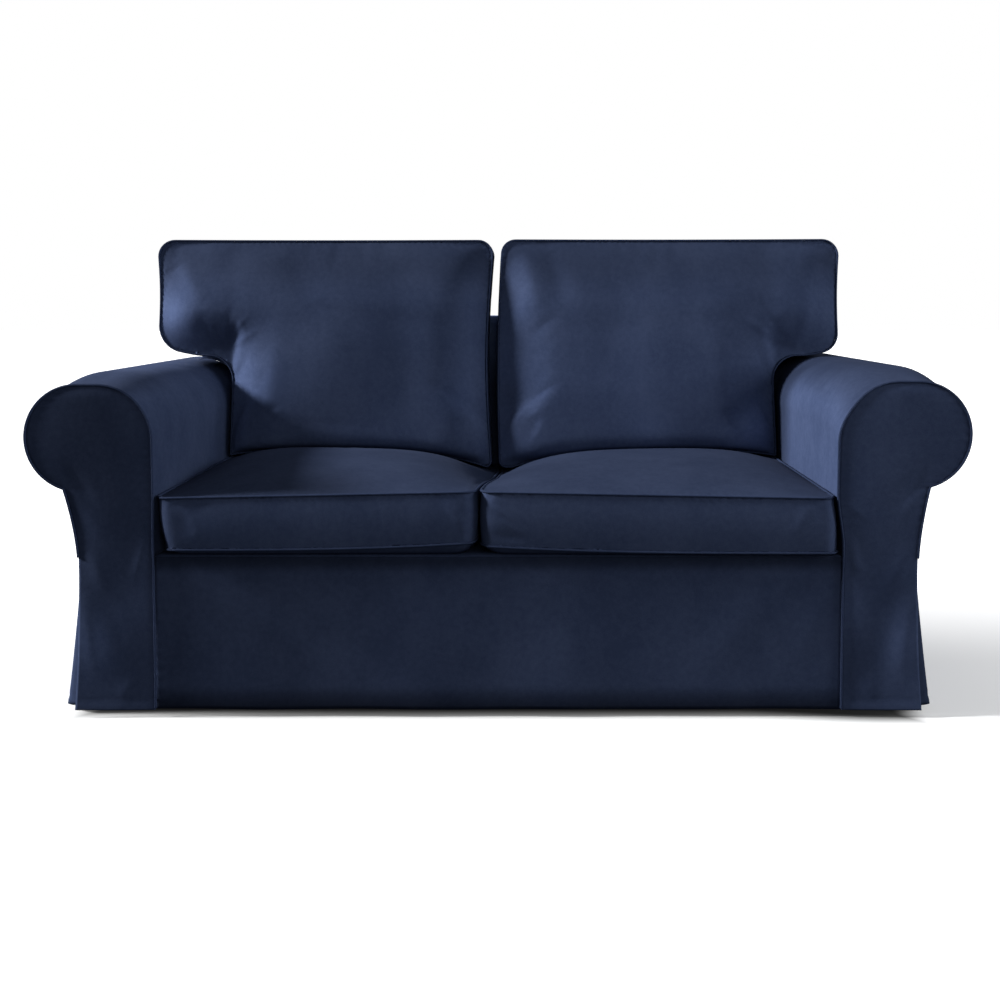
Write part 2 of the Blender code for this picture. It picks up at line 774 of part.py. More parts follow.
def add_back_cushion(label):
    front = seated_outline(label, face_seam_y)
    rear = seated_outline(label, rear_seam_y)
    front_normals = corner_normals(front)
    rear_normals = corner_normals(rear)
    middle = Vector(BACK_CUSHION_CENTRES[label])
    face_rings = len(BACK_FACE_INSETS)
    rear_rings = len(BACK_REAR_INSETS)
    last = face_rings + rear_rings + 2

    def face_point(segment, inset):
        point = front[segment].lerp(middle, inset)
        rise = 1 - (1 - inset) ** CROWN_EDGE
        crown = FACE_CROWN * rise * face_fullness(label, point.x, point.y)
        return Vector((point.x, face_seam_y(point.y) - crown, point.y))

    def rear_point(segment, inset):
        point = rear[segment].lerp(middle, inset)
        bulge = REAR_CROWN + REAR_OVERHANG * smooth(point.y, OVERHANG_FROM, OVERHANG_TO)
        rise = 1 - (1 - inset) ** CROWN_EDGE
        return Vector((point.x, rear_seam_y(point.y) + bulge * rise, point.y))

    def place(ring, segment):
        if ring == 0:
            return face_point(segment, 1.0)
        if ring <= face_rings:
            return face_point(segment, BACK_FACE_INSETS[ring - 1])
        if ring == face_rings + 1:
            edge = (front[segment] + rear[segment]) / 2 + front_normals[segment] * BORDER_BULGE
            y = (face_seam_y(edge.y) + rear_seam_y(edge.y)) / 2
            return Vector((edge.x, y, max(edge.y, lying_z(label, edge.x, y))))
        if ring < last:
            return rear_point(segment, BACK_REAR_INSETS[ring - face_rings - 2])
        return rear_point(segment, 1.0)

    add_cushion(f"back_cushion_{label}", len(front), last, place)
    front_line = []
    rear_line = []
    for index in range(len(front)):
        x, z = front[index] + front_normals[index] * PIPING_OUT
        front_line.append((x, face_seam_y(front[index].y) - PIPING_OUT, z))
        x, z = rear[index] + rear_normals[index] * PIPING_OUT
        rear_line.append((x, rear_seam_y(rear[index].y) + PIPING_OUT, z))
    add_piping(f"piping_back_front_{label}", front_line, closed=True)
    add_piping(f"piping_back_rear_{label}", rear_line, closed=True)


# ---------------------------------------------------------------- the whole

def clear_scene():
    for thing in list(bpy.data.objects):
        bpy.data.objects.remove(thing, do_unlink=True)
    collection = bpy.data.collections.new(COLLECTION)
    bpy.context.scene.collection.children.link(collection)


def main():
    clear_scene()
    add_seat_deck()
    add_front_panel()
    add_inside_back()
    add_outside_back()
    for arm in ARMS:
        add_arm_front(arm)
        add_arm_inner(arm)
        add_arm_outer(arm)
        add_arm_piping(arm)
        add_back_side(arm)
        add_seat_cushion(arm.label)
        add_back_cushion(arm.label)


main()
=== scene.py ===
"""The looks of a fitted velvet sofa cover and its four filled cushions.

Every cut panel is draped afresh as a fine sheet on the lines of the frame's plain one, every
cushion is filled by simulation, and every piped seam gets its own round piping.  Metres; +X to
the right as seen from the front, +Y to the rear, +Z up.
"""
import math
from collections import namedtuple

import bpy
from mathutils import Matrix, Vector
from mathutils.kdtree import KDTree


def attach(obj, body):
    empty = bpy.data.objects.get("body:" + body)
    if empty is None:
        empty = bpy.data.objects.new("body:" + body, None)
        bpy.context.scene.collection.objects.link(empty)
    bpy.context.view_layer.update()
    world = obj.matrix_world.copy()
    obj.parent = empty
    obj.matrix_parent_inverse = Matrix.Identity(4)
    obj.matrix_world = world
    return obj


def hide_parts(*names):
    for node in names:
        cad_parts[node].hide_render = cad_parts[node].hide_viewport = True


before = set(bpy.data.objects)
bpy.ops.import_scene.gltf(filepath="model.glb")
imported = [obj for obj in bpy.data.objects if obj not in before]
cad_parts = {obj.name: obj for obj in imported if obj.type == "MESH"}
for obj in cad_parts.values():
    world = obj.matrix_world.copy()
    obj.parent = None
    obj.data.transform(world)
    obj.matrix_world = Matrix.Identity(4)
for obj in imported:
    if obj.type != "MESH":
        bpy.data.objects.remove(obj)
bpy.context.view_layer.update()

# Cloth, the gap at a seam and at a soft one, and how far piping stands out of its seam
CLOTH = 0.0018
GAP = 0.0003
SOFT_GAP = 0.001
PIPING_RADIUS = 0.0024
PIPING_OUT = 0.0007
PIPING_SIDES = 2

# The cover: its front and rear faces, the front panel a little behind, the deck and the skirt
FRONT_Y = -0.440
REAR_Y = 0.440
PANEL_Y = FRONT_Y + 0.003
DECK_Z = 0.295
SKIRT_TOP = 0.290
# How far the hem waves up, with the turn for each metre and where it starts
HEM_RISE = 0.0015
HEM_WAVE = (17, 1)
# How far the hem flares out, and how many times more at an arm front's free edge
HEM_FLARE = 0.004
FREE_EDGE_FLARE = 1.5
# How far back the side panel's front edge stands at the hem
SIDE_EDGE_BACK = 0.012
# That edge turns in behind the arm front: times the slit's width, and over what depth
SIDE_TUCK = 1.2
SIDE_TURN = 0.022
# The power by which the side panel's columns crowd towards that edge
SIDE_EDGE_FINER = 1.5
# The hem is turned up to this line, over a small step
HEM_LINE = 0.017
HEM_STEP = 0.002
# How far the turned-up hem stands out, and how deep and wide its line of stitches is
HEM_TURN = 0.0006
STITCH_DEPTH = 0.0009
STITCH_WIDTH = 0.0022

# Arms
Arm = namedtuple("Arm", "label side roll_z swell_top joint_x lean")
ARMS = (
    Arm("left", -1, roll_z=0.522, swell_top=0.017, joint_x=0.8215, lean=0.002),
    Arm("right", 1, roll_z=0.528, swell_top=0.023, joint_x=0.8165, lean=0.012),
)
SEAT_HALF = 0.656
ROLL_RADIUS = 0.100
ROLL_INNER_X = SEAT_HALF + ROLL_RADIUS
ROLL_OUTER_X = 0.792
# How far past the joint the cloth goes on round the roll, where the outside back leaves the
# roll's end, and where the inner panel stops following the face of the back
ROLL_END_PAST_JOINT = math.radians(6)
ROLL_END_TOP = math.radians(80)
ROLL_CREST = math.pi / 2 + 0.02
# How far a roll swells between its ends, and the depths over which it does
SWELL_SIDE = 0.008
SWELL_RUN_FRONT = 0.17
SWELL_RUN_REAR = 0.07
# Heights between which an arm front starts to lean over the seat and stands upright again
LEAN_FROM = (0.31, 0.42)
LEAN_TO = (0.51, 0.60)
LEAN_RUN = 0.12
# How far an arm front puffs out, and the shares of its height where that is full and ends
FRONT_PUFF = 0.004
PUFF_SHARES = (0.5, 0.9)
# Length of an arm front's edge, and the share of it that follows the wave of the hem
ARM_FRONT_RUN = 0.8
HEM_SHARE = 0.02
# Drop and run along which the gathers of its top are measured
ARM_FRONT_TOP = (0.30, 0.2)
# Stops of the piping over the roll's flat top
ROLL_TOP_STOPS = (0.33, 0.67)
# The panel over the arm: way round it from the deck, and cloth in it; and cloth in an arm front
ARM_WRAP = 0.78
# Depth of the panel outside the arm
ARM_OUTER_DEPTH = 0.87
# Half width of the cover at the skirt's top, where it is narrowest
SKIRT_NARROW = 0.797
# How far the skirt's edge flares out at the hem, and how that falls off upwards
SKIRT_FLARE = {"front": (0.011, 2.0), "side": (0.042, 1.10), "rear": (0.025, 1.05)}
# The power by which the sides widen again from there up to the roll
NECK_CURVE = 1.6

# Soft folds of the skirt: place along the panel, half width, depth at the hem
FRONT_FOLDS = ((-0.47, 0.07, 0.005), (-0.16, 0.10, 0.004), (0.14, 0.08, 0.005), (0.45, 0.09, 0.004))
SIDE_FOLDS = ((-0.25, 0.07, 0.005), (0.04, 0.09, 0.006), (0.30, 0.06, 0.004))
REAR_FOLDS = ((-0.50, 0.10, 0.005), (-0.05, 0.12, 0.006), (0.42, 0.09, 0.005))

# Back of the sofa under the cover: foot and lean of its face, top, and rounding of its top edge
BACK_FOOT_Y = 0.235
BACK_LEAN = math.atan(0.12)
BACK_TOP = 0.744
BACK_ROUND = 0.030
BACK_HALF = ROLL_INNER_X
# Flat sizes of the back's panels, and cloth in the outside back
INSIDE_BACK_RISE = 0.60
# Rise and width along which the gathers of the side gussets and of the outside back are measured
BACK_SIDE_RISE = 0.1
OUTSIDE_BACK_WIDTH = 1.6

# Creases of the cover, seen flat on each panel
Crease = namedtuple("Crease", "start end width height")
# How far along a half wave a crease starts, and ends as far before its close
CREASE_ENDS = 0.08
ARM_FRONT_CREASES = (
    Crease((0.812, 0.468), (0.770, 0.405), 0.012, -0.0026),
    Crease((0.806, 0.440), (0.760, 0.350), 0.018, 0.0016),
    Crease((0.780, 0.310), (0.740, 0.230), 0.018, 0.0026),
    Crease((0.790, 0.230), (0.768, 0.070), 0.022, 0.0036),
    Crease((0.745, 0.230), (0.728, 0.080), 0.026, -0.0018),
    Crease((0.668, 0.330), (0.690, 0.250), 0.010, 0.0020),
    Crease((0.700, 0.060), (0.720, 0.020), 0.014, 0.0016),
)
ARM_INNER_CREASES = (
    Crease((-0.36, 0.30), (-0.10, 0.36), 0.020, -0.0012),
    Crease((-0.30, 0.20), (0.02, 0.28), 0.026, 0.0012),
    Crease((-0.05, 0.40), (0.12, 0.33), 0.018, -0.0014),
)
ARM_OUTER_CREASES = (
    Crease((-0.40, 0.40), (-0.30, 0.12), 0.022, 0.0030),
    Crease((-0.34, 0.38), (-0.20, 0.06), 0.026, -0.0026),
    Crease((0.34, 0.40), (0.22, 0.10), 0.026, 0.0026),
    Crease((0.05, 0.34), (0.02, 0.05), 0.034, -0.0024),
)
FRONT_CREASES = (
    Crease((-0.60, 0.27), (-0.40, 0.13), 0.030, 0.0022),
    Crease((-0.52, 0.25), (-0.30, 0.10), 0.034, -0.0020),
    Crease((-0.20, 0.23), (-0.02, 0.08), 0.042, 0.0016),
    Crease((0.12, 0.24), (0.30, 0.09), 0.040, -0.0016),
    Crease((0.52, 0.25), (0.40, 0.08), 0.036, 0.0020),
    Crease((0.63, 0.27), (0.58, 0.10), 0.024, 0.0016),
)
REAR_CREASES = (
    Crease((-0.62, 0.60), (-0.40, 0.30), 0.040, 0.0022),
    Crease((0.60, 0.62), (0.36, 0.34), 0.044, -0.0022),
    Crease((-0.10, 0.66), (-0.04, 0.25), 0.060, 0.0018),
    Crease((0.25, 0.50), (0.20, 0.12), 0.050, 0.0020),
    Crease((-0.40, 0.40), (-0.42, 0.08), 0.044, -0.0020),
)
# Gathers along seams: how far they reach from the seam, and how far apart they stand
GATHER_REACH = 0.022
GATHER_PITCH = 0.021
# How they wander from an even pitch, and how they fade: amount and pitches to a turn
WANDER = (1.3, 2.7)
WANDER_SHIFT = 1.7
FADE = (0.45, 4.1)
# Gathers of each panel's seam: depth and place in the ripple
GATHERS = {
    "arm_front_inner": (0.0011, 0.0),
    "arm_front_outer": (0.0007, 2.1),
    "arm_front_top": (0.0009, 0.6),
    "arm_inner_front": (0.0008, 0.3),
    "arm_outer_top": (0.0010, 0.0),
    "arm_outer_rear": (0.0008, 0.4),
    "front_left_end": (0.0009, 0.8),
    "front_right_end": (0.0009, 2.8),
    "inside_back_top": (0.0008, 0.9),
    "back_side_foot": (0.0006, 0.2),
    "outside_back_top": (0.0008, 0.5),
    "outside_back_sides": (0.0008, 1.5),
}
# Heights between which the gathers of an arm front's inner and outer edges set in
INNER_GATHERS_Z = (0.25, 0.33)
OUTER_GATHERS_Z = (0.30, 0.40)
# Distance over which those of the inside back set in from its top edge
TOP_STILL = 0.012

# Seat cushions: the joint between them at the front, and how it turns to the right rearwards
JOINT_FRONT_X = -0.039
JOINT_TURN = 0.054
SEAT_FRONT_Y = -0.447
SEAT_REAR_Y = 0.229
SEAT_LEFT_X = -0.6415
SEAT_RIGHT_X = 0.638
SEAT_JOINT_HALF = 0.0055
# How much wider a seat cushion is at its front corner next to the arm
SEAT_FRONT_FULLER = 0.006
SEAT_CORNER = 0.026
SEAT_SEAM_Z = 0.414
# The lower seam: its height, how far it rises to the joint, and its shift to the right at the
# arm, with the powers by which these grow across
SEAT_FOOT_Z = {"left": 0.310, "right": 0.304}
SEAT_FOOT_RISE = 0.014
SEAT_FOOT_SHIFT = {"left": 0.014, "right": 0.009}
FOOT_RISE_POWER = 3
FOOT_SHIFT_POWER = 4
SEAT_CROWN = {"left": 0.045, "right": 0.042}
# How far the top seam tilts up to the joint at the front
SEAT_TILT = 0.006
# How far it sags by the joint under the back cushions: depth, power across, where it is full
SEAT_SAG = 0.040
SAG_POWER = 4
SAG_FULL_ALONG = 0.6
# The powers by which the crown falls away to the arm, to the joint and to the front
CROWN_AT_ARM = 3.2
CROWN_AT_JOINT = 5.5
CROWN_ALONG = 2.4
# Where the back cushions press the crown down, as shares of the way back
PRESSED_FROM = 0.10
PRESSED_TO = 0.85
# How far the crown's top is shifted to the arm, as a share
CROWN_SHIFT = 0.14
BORDER_BULGE = 0.004
# How far in from its edge the underside of a seat cushion rounds off, as a share
SEAT_FOOT_ROUND = 0.10
SEAT_CREASES = {
    "left": (
        Crease((-0.60, 0.40), (-0.56, 0.33), 0.012, 0.0010),
        Crease((-0.10, 0.405), (-0.06, 0.35), 0.008, 0.0014),
    ),
    "right": (
        Crease((-0.02, 0.40), (0.03, 0.365), 0.006, 0.0016),
        Crease((0.00, 0.37), (0.04, 0.345), 0.006, 0.0014),
        Crease((-0.01, 0.34), (0.05, 0.33), 0.008, -0.0014),
        Crease((0.59, 0.40), (0.56, 0.34), 0.012, 0.0008),
    ),
}

# Back cushions: height of each over the crowned seat, where its piping rests
CUSHION_REST = {"left": 0.0090, "right": 0.0081}
# The front seam: a spot on its plane, and how that leans back
FACE_Y = 0.088
FACE_Z = 0.420
FACE_LEAN = 0.155
FACE_CROWN = {"left": 0.050, "right": 0.043}
# The powers by which a face rises from its seam, and from its foot at these heights
CROWN_EDGE = 10
CROWN_FOOT_EDGE = 60
FOOT_EDGE_Z = (0.455, 0.50)
# The powers by which its crown falls away to the sides, the foot and the top
CROWN_SIDES = 9
CROWN_FOOT = 20
CROWN_TOP = 2.4
# Heights from the ear's foot between which the band with the ear comes in
EAR_BAND = (-0.01, 0.10)
# The rear face: its crown, and how it hangs over the top of the sofa's back
REAR_CROWN = 0.0035
REAR_OVERHANG = 0.014
OVERHANG_FROM = 0.780
OVERHANG_TO = 0.880
REAR_SEAM_CLEAR = 0.0060
BACK_CUSHION_CENTRES = {"left": (-0.400, 0.760), "right": (0.375, 0.760)}
# Corners seen from the front, anticlockwise: x, height, corner radius, draw-in of the next side
BACK_CUSHION_CORNERS = {
    "left": (
        (-0.640, 0.405, 0.016, 0.004),
        (-0.030, 0.393, 0.014, 0.012),
        (-0.028, 0.924, 0.032, 0.001),
        (-0.822, 0.924, 0.036, 0.003),
        (-0.812, 0.669, 0.062, -0.002),
        (-0.637, 0.646, 0.060, 0.000),
    ),
    "right": (
        (-0.008, 0.393, 0.014, 0.004),
        (0.640, 0.405, 0.016, 0.000),
        (0.634, 0.648, 0.060, -0.002),
        (0.789, 0.665, 0.044, 0.003),
        (0.797, 0.926, 0.036, 0.001),
        (-0.003, 0.925, 0.032, -0.006),
    ),
}

# Creases of the faces: by the notch, in the ear's valley and softly upright on the body
BACK_CREASES = {
    "left": (
        Crease((-0.700, 0.665), (-0.705, 0.760), 0.018, -0.0022),
        Crease((-0.655, 0.675), (-0.600, 0.745), 0.007, 0.0011),
        Crease((-0.648, 0.668), (-0.570, 0.715), 0.008, 0.0010),
        Crease((-0.665, 0.680), (-0.635, 0.765), 0.007, -0.0010),
        Crease((-0.425, 0.500), (-0.400, 0.760), 0.100, 0.0078),
        Crease((-0.230, 0.480), (-0.235, 0.860), 0.055, -0.0026),
        Crease((-0.105, 0.470), (-0.110, 0.840), 0.040, 0.0030),
        Crease((-0.760, 0.870), (-0.700, 0.780), 0.022, 0.0030),
        Crease((-0.500, 0.900), (-0.440, 0.780), 0.040, -0.0030),
    ),
    "right": (
        Crease((0.050, 0.900), (0.090, 0.760), 0.026, 0.0040),
        Crease((0.105, 0.900), (0.150, 0.780), 0.024, -0.0040),
        Crease((0.280, 0.860), (0.260, 0.560), 0.060, -0.0030),
        Crease((0.640, 0.690), (0.570, 0.740), 0.010, 0.0020),
        Crease((0.650, 0.705), (0.600, 0.790), 0.010, -0.0018),
        Crease((0.700, 0.690), (0.720, 0.780), 0.018, 0.0024),
        Crease((0.560, 0.480), (0.540, 0.620), 0.040, -0.0030),
    ),
}

# Filling: how far a cushion's cloth may move, least and more, and where it comes to do so
LEAST_GIVE = 0.001
SEAT_GIVE = 0.012
SEAT_GIVE_Y = (0.0, 0.10)
BACK_GIVE = 0.0035
BACK_GIVE_Z = (0.46, 0.60)
# How sharply that limit sets in
GIVE_POWER = 3
# How near its lower seam a seat cushion is held, and its front edge counts as the front
SEAT_HELD = 0.002
SEAT_FRONT_REACH = 0.01
# How near its foot and its rear seam a back cushion is held, and its face stands clear in front
BACK_HELD_FOOT = 0.004
BACK_HELD_REAR = 0.002
FACE_CLEAR = 0.001
# Gathers along a cushion's front seam: depth, place in the ripple, reach, pitch
CUSHION_GATHERS = (0.0007, 1.3, 0.016, 0.015)
# Nearer to the seam than this nothing is gathered, and creases set in over these distances
SEAM_STILL = 0.003
CREASES_SET_IN = (0.002, 0.02)
# How much longer the cloth is cut than its seams, the pressure inside, and steps of simulation
SEAT_FILLING = (0.0, 2.5)
BACK_FILLING = (0.001, 4.0)
FILLING_FRAMES = 20
FILLING = {
    "quality": 5,
    "mass": 0.25,
    "tension_stiffness": 30,
    "compression_stiffness": 30,
    "shear_stiffness": 8,
    "bending_stiffness": 8.0,
    "use_pressure": True,
    "vertex_group_mass": "seams",
    "pin_stiffness": 1.0,
}

# Mesh steps
ARC_STEPS = 9
SIDE_SPACING = 0.009
VOXEL = 0.008
# A run this short has no direction: square metres
NO_RUN = 1e-12
# How near a seam a point is moved onto it before and after the filling
SNAP = VOXEL * 0.62
FINAL_SNAP = VOXEL * 0.40
# Rings of a cushion's face and border, and the power by which a face's rings crowd to its seam
FACE_RINGS = 26
BORDER_RINGS = 8
RING_SPREAD = 1.35
# Faces across and up each sheet; the back's own rows give the rest
GRIDS = {
    "arm_front": (34, 110),
    "arm_inner": (96, 92),
    "arm_outer": (96, 52),
    "front_panel": (180, 42),
    "seat_deck": (30, 16),
    "back_side": (24, 14),
}
INSIDE_BACK_COLUMNS = 120
INSIDE_BACK_STEPS = 8
OUTSIDE_BACK_COLUMNS = 150
# Rows of the outside back: up the skirt, round the roll and above it
REAR_ROWS = (36, 20, 10)
ARM_PIPING_STEPS = 150

# Camera
CAMERA_AT = (0.05, -2.59, 0.7765)
CAMERA_PITCH = math.radians(86)
CAMERA_LENS = 41.29
CAMERA_SHIFT = (-0.0245, -0.1168)
CAMERA_SENSOR = 36.0

# Studio: the hem hangs clear of the floor
FLOOR_SIZE = 60.0
FLOOR_DROP = 0.014
FLOOR_GREY = 0.80
FLOOR_ROUGHNESS = 0.9
# Glow of the floor in front of the cover and behind it, painted light that lifts the floor's shadows,
# and how far the painted shadow under the hem reaches
FLOOR_GLOW = (0.25, 0.70)
FLOOR_GLOW_Y = (-0.15, 0.50)
UNDER_HALF = (0.830, 0.468)
UNDER_SOFT = 0.068
UNDER_SHADE = 0.03
# How much further forward the painted shadow under the hem reaches at the right arm
UNDER_FORWARD = 0.030
UNDER_FORWARD_X = (0.45, 0.75)
# The window: the way to its light, its strength and how wide it looks
SUN_TO_LIGHT = (-0.89, -0.025, 0.455)
SUN_STRENGTH = 6.6
SUN_WIDTH = math.radians(9)
WHITE = (1, 1, 1, 1)
ROOM_TINT = (0.92, 0.95, 1.0, 1)
ROOM_HEIGHTS = (-0.4, 0.9)
ROOM_STRENGTH = (0.05, 0.17)
# Lamps that lighten the shadows: place, width, watts, colour
FILL_AIM = (0, 0, 0.5)
FILL_LAMPS = {
    "side_fill": ((4.2, -1.0, 1.75), 2.0, 100, (0.96, 0.98, 1.0)),
    "front_fill": ((0.7, -3.6, 1.5), 1.6, 16, (1, 1, 1)),
    "rear_fill": ((-0.6, 3.4, 0.9), 2.0, 30, (1, 1, 1)),
}

# Velvets: dark colour, brushed colour, sheen weight
# The cushion copy is a little lighter and the piping copy darker than the cover's: painted light and
# painted shade on one velvet
VELVETS = {
    "cover_velvet": ((0.034, 0.049, 0.102, 1), (0.054, 0.074, 0.143, 1), 0.01),
    "cushion_velvet": ((0.036, 0.052, 0.108, 1), (0.057, 0.078, 0.150, 1), 0.01),
    "piping_velvet": ((0.028, 0.041, 0.088, 1), (0.042, 0.060, 0.122, 1), 0.01),
}
SHEEN_TINT = (0.50, 0.58, 0.86, 1)
SHEEN_ROUGHNESS = 0.42
SPECULAR = 0.04
PILE_STRENGTH = 0.22
PILE_HEIGHT = 0.0016
# Marks in the pile: how fine the streaks and crushes are, and how much of the relief is crush
STREAK_SCALE = 26.0
STREAK_STRETCH = (1.0, 1.0, 0.35)
CRUSH_SCALE = 95.0
CRUSH_SHARE = 0.65
# How strongly each kind of mark shows in the colour
STREAK_MARKS = 0.55
PILE_MARKS = 0.7
CRUSH_MARKS = 0.9
# How the broad patches turn into brushed colour and into roughness: factor and offset
BRUSHED_SPREAD = (1.5, -0.42)
ROUGHNESS_SPREAD = (-0.16, 0.88)
# How many times brighter a spot with painted light 1 is than one with none; -1 is painted shade as many
# times darker
PAINTED_LIGHT_SPAN = 1.9
# Painted light and shade on what faces up, and on what turns to the left: -1 painted shade, 1 painted
# highlight
PAINTED_LIGHT_UP = {
    "arm_inner_left": 0.3,
    "arm_inner_right": -1.0,
    "seat_cushion": -0.9,
    "piping_seat_top": -0.4,
    "piping": -0.9,
}
PAINTED_LIGHT_LEFT = {"back_cushion": 0.6, "seat_cushion": -0.4, "piping": -0.7}
# How far a normal leans up, or to the left, from where that painted light starts to where it is full
FACING_UP = (0.3, 0.9)
FACING_LEFT = (0.10, 0.50)
# Painted shade on the arm's inner wall where a back cushion stands against it, and painted light deep
# in that corner
ARM_INNER_SHADE = {"left": -0.4, "right": -1.3}
ARM_CORNER_GLOW = 0.6
ARM_BESIDE_Y = (-0.05, 0.06)
ARM_CORNER_Y = (0.12, 0.20)
ARM_WALL_TOP_Z = (0.58, 0.66)
# Painted shade on the left roll's top near the front, and painted light on the right one's
ARM_TOP_SHADE = {"left": -0.8, "right": 0.2}
ARM_TOP_Y = (-0.42, -0.15)
ARM_TOP_Z = (0.59, 0.63)
# Painted shade on the outer panel's front edge, beside the slit
ARM_OUTER_SHADE = {"left": 0.0, "right": -0.9}
ARM_OUTER_Y = (-0.42, -0.30)
# Painted shade on the front panel under the seat, at the hem and towards its left end
UNDER_SEAT_SHADE = -1.3
UNDER_SEAT_Z = (DECK_Z - 0.035, DECK_Z - 0.005)
HEM_SHADE = -1.9
HEM_SHADE_Z = (0.0, 0.05)
LEFT_END_SHADE = -0.3
LEFT_END_X = (-0.5, 0.1)
# Painted light on the inside back where it shows between the back cushions: amount, x, half width
BACK_GAP_GLOW = (1.8, -0.019, 0.04)
BACK_GAP_Z = (0.55, 0.70)
# Painted shade near the top of the back cushions' faces, which lean back to the light
TOP_SHADE = -0.75
TOP_SHADE_Z = (0.78, 0.88)
# Patches of painted light and shade on the arm fronts: x, height, radius, painted light
ARM_FRONT_PAINTED_LIGHT = {
    "left": (
        (-0.780, 0.500, 0.150, -0.75),
        (-0.770, 0.360, 0.020, 0.50),
        (-0.765, 0.120, 0.035, 0.55),
        (-0.682, 0.212, 0.030, 0.35),
        (-0.740, 0.160, 0.050, 0.30),
        (-0.700, 0.090, 0.035, -0.30),
    ),
    "right": (
        (0.765, 0.130, 0.035, 0.45),
        (0.668, 0.200, 0.025, 0.30),
        (0.695, 0.090, 0.035, -0.40),
    ),
}
# Patches of painted light and shade on the seat cushions' tops, above the seam: x, y, radius, painted
# light
SEAT_TOP_Z = (SEAT_SEAM_Z - 0.010, SEAT_SEAM_Z + 0.005)
SEAT_PAINTED_LIGHT = {
    "left": ((-0.55, -0.10, 0.16, 0.40), (-0.33, -0.42, 0.08, -0.60)),
    "right": ((0.05, -0.25, 0.10, -0.20),),
}
# Patches of painted light and shade on the back cushions' faces: x, height, radius, painted light
BACK_PAINTED_LIGHT = {
    "left": (
        (-0.720, 0.890, 0.140, 0.45),
        (-0.470, 0.470, 0.060, -0.35),
        (-0.560, 0.625, 0.075, 0.20),
        (-0.780, 0.720, 0.060, 0.55),
        (-0.225, 0.620, 0.060, -0.15),
        (-0.110, 0.560, 0.045, 0.20),
    ),
    "right": (
        (0.020, 0.560, 0.030, -0.4),
        (0.025, 0.800, 0.040, -0.35),
        (0.030, 0.490, 0.035, -0.35),
        (0.220, 0.620, 0.160, 0.25),
        (0.590, 0.490, 0.070, 0.90),
        (0.340, 0.470, 0.070, 0.40),
        (0.725, 0.855, 0.080, 0.45),
    ),
}


# ---------------------------------------------------------------- small helpers

def lerp(start, end, share):
    return start + (end - start) * share


def smooth(value, low, high):
    """0 below low, 1 above high, and an even S between them."""
    share = min(1.0, max(0.0, (value - low) / (high - low)))
    return share * share * (3 - 2 * share)


def hump(value, at, width):
    """A soft hump of height 1."""
    return math.exp(-((value - at) / width) ** 2)


def select_only(thing):
    bpy.ops.object.select_all(action="DESELECT")
    bpy.context.view_layer.objects.active = thing
    thing.select_set(True)


def apply_modifiers(thing):
    select_only(thing)
    for modifier in list(thing.modifiers):
        bpy.ops.object.modifier_apply(modifier=modifier.name)


def place_in_scene(name, data, place=(0, 0, 0), turn=(0, 0, 0)):
    thing = bpy.data.objects.new(name, data)
    thing.location = place
    thing.rotation_euler = turn
    bpy.context.scene.collection.objects.link(thing)
    return thing


def painted_patches(across, up, patches, tall=1):
    """Painted light and shade at a spot from soft patches: across, up, radius, painted light each."""
    return sum(
        painted_light * hump(across, at, radius) * hump(up, height, tall * radius)
        for at, height, radius, painted_light in patches
    )


# ---------------------------------------------------------------- velvet

def new_node(tree, kind, inputs, **settings):
    """The outputs of a new shader node, each input set to a value or linked to another's output."""
    node = tree.nodes.new(f"ShaderNode{kind}")
    for setting, value in settings.items():
        setattr(node, setting, value)
    for socket, value in inputs.items():
        if isinstance(value, bpy.types.NodeSocket):
            tree.links.new(value, node.inputs[socket])
        else:
            node.inputs[socket].default_value = value
    return node.outputs


def maths(tree, operation, *values):
    return new_node(tree, "Math", dict(enumerate(values)), operation=operation)[0]


def ramp(tree, value, span, ends, kind="LINEAR"):
    """A socket's value, spread from its span to new ends."""
    limits = {"From Min": span[0], "From Max": span[1], "To Min": ends[0], "To Max": ends[1]}
    return new_node(tree, "MapRange", {"Value": value, **limits}, interpolation_type=kind)["Result"]


def axes(tree, place):
    """The X, Y and Z of a place given by the texture coordinate node."""
    spot = new_node(tree, "TexCoord", {})[place]
    return new_node(tree, "SeparateXYZ", {"Vector": spot})


def new_material(name):
    """A material, its node tree and the inputs of its shader."""
    material = bpy.data.materials.new(name)
    material.use_nodes = True
    tree = material.node_tree
    return material, tree, tree.nodes["Principled BSDF"].inputs


def new_group(name, inputs, outputs):
    """A shader node group with named sockets, what it is given and what it leaves."""
    group = bpy.data.node_groups.new(name, "ShaderNodeTree")
    for title, kind, default in inputs:
        socket = group.interface.new_socket(title, in_out="INPUT", socket_type="NodeSocket" + kind)
        if default is not None:
            socket.default_value = default
    for title, kind in outputs:
        group.interface.new_socket(title, in_out="OUTPUT", socket_type="NodeSocket" + kind)
    given = group.nodes.new("NodeGroupInput").outputs
    left = group.nodes.new("NodeGroupOutput").inputs
    return group, given, left


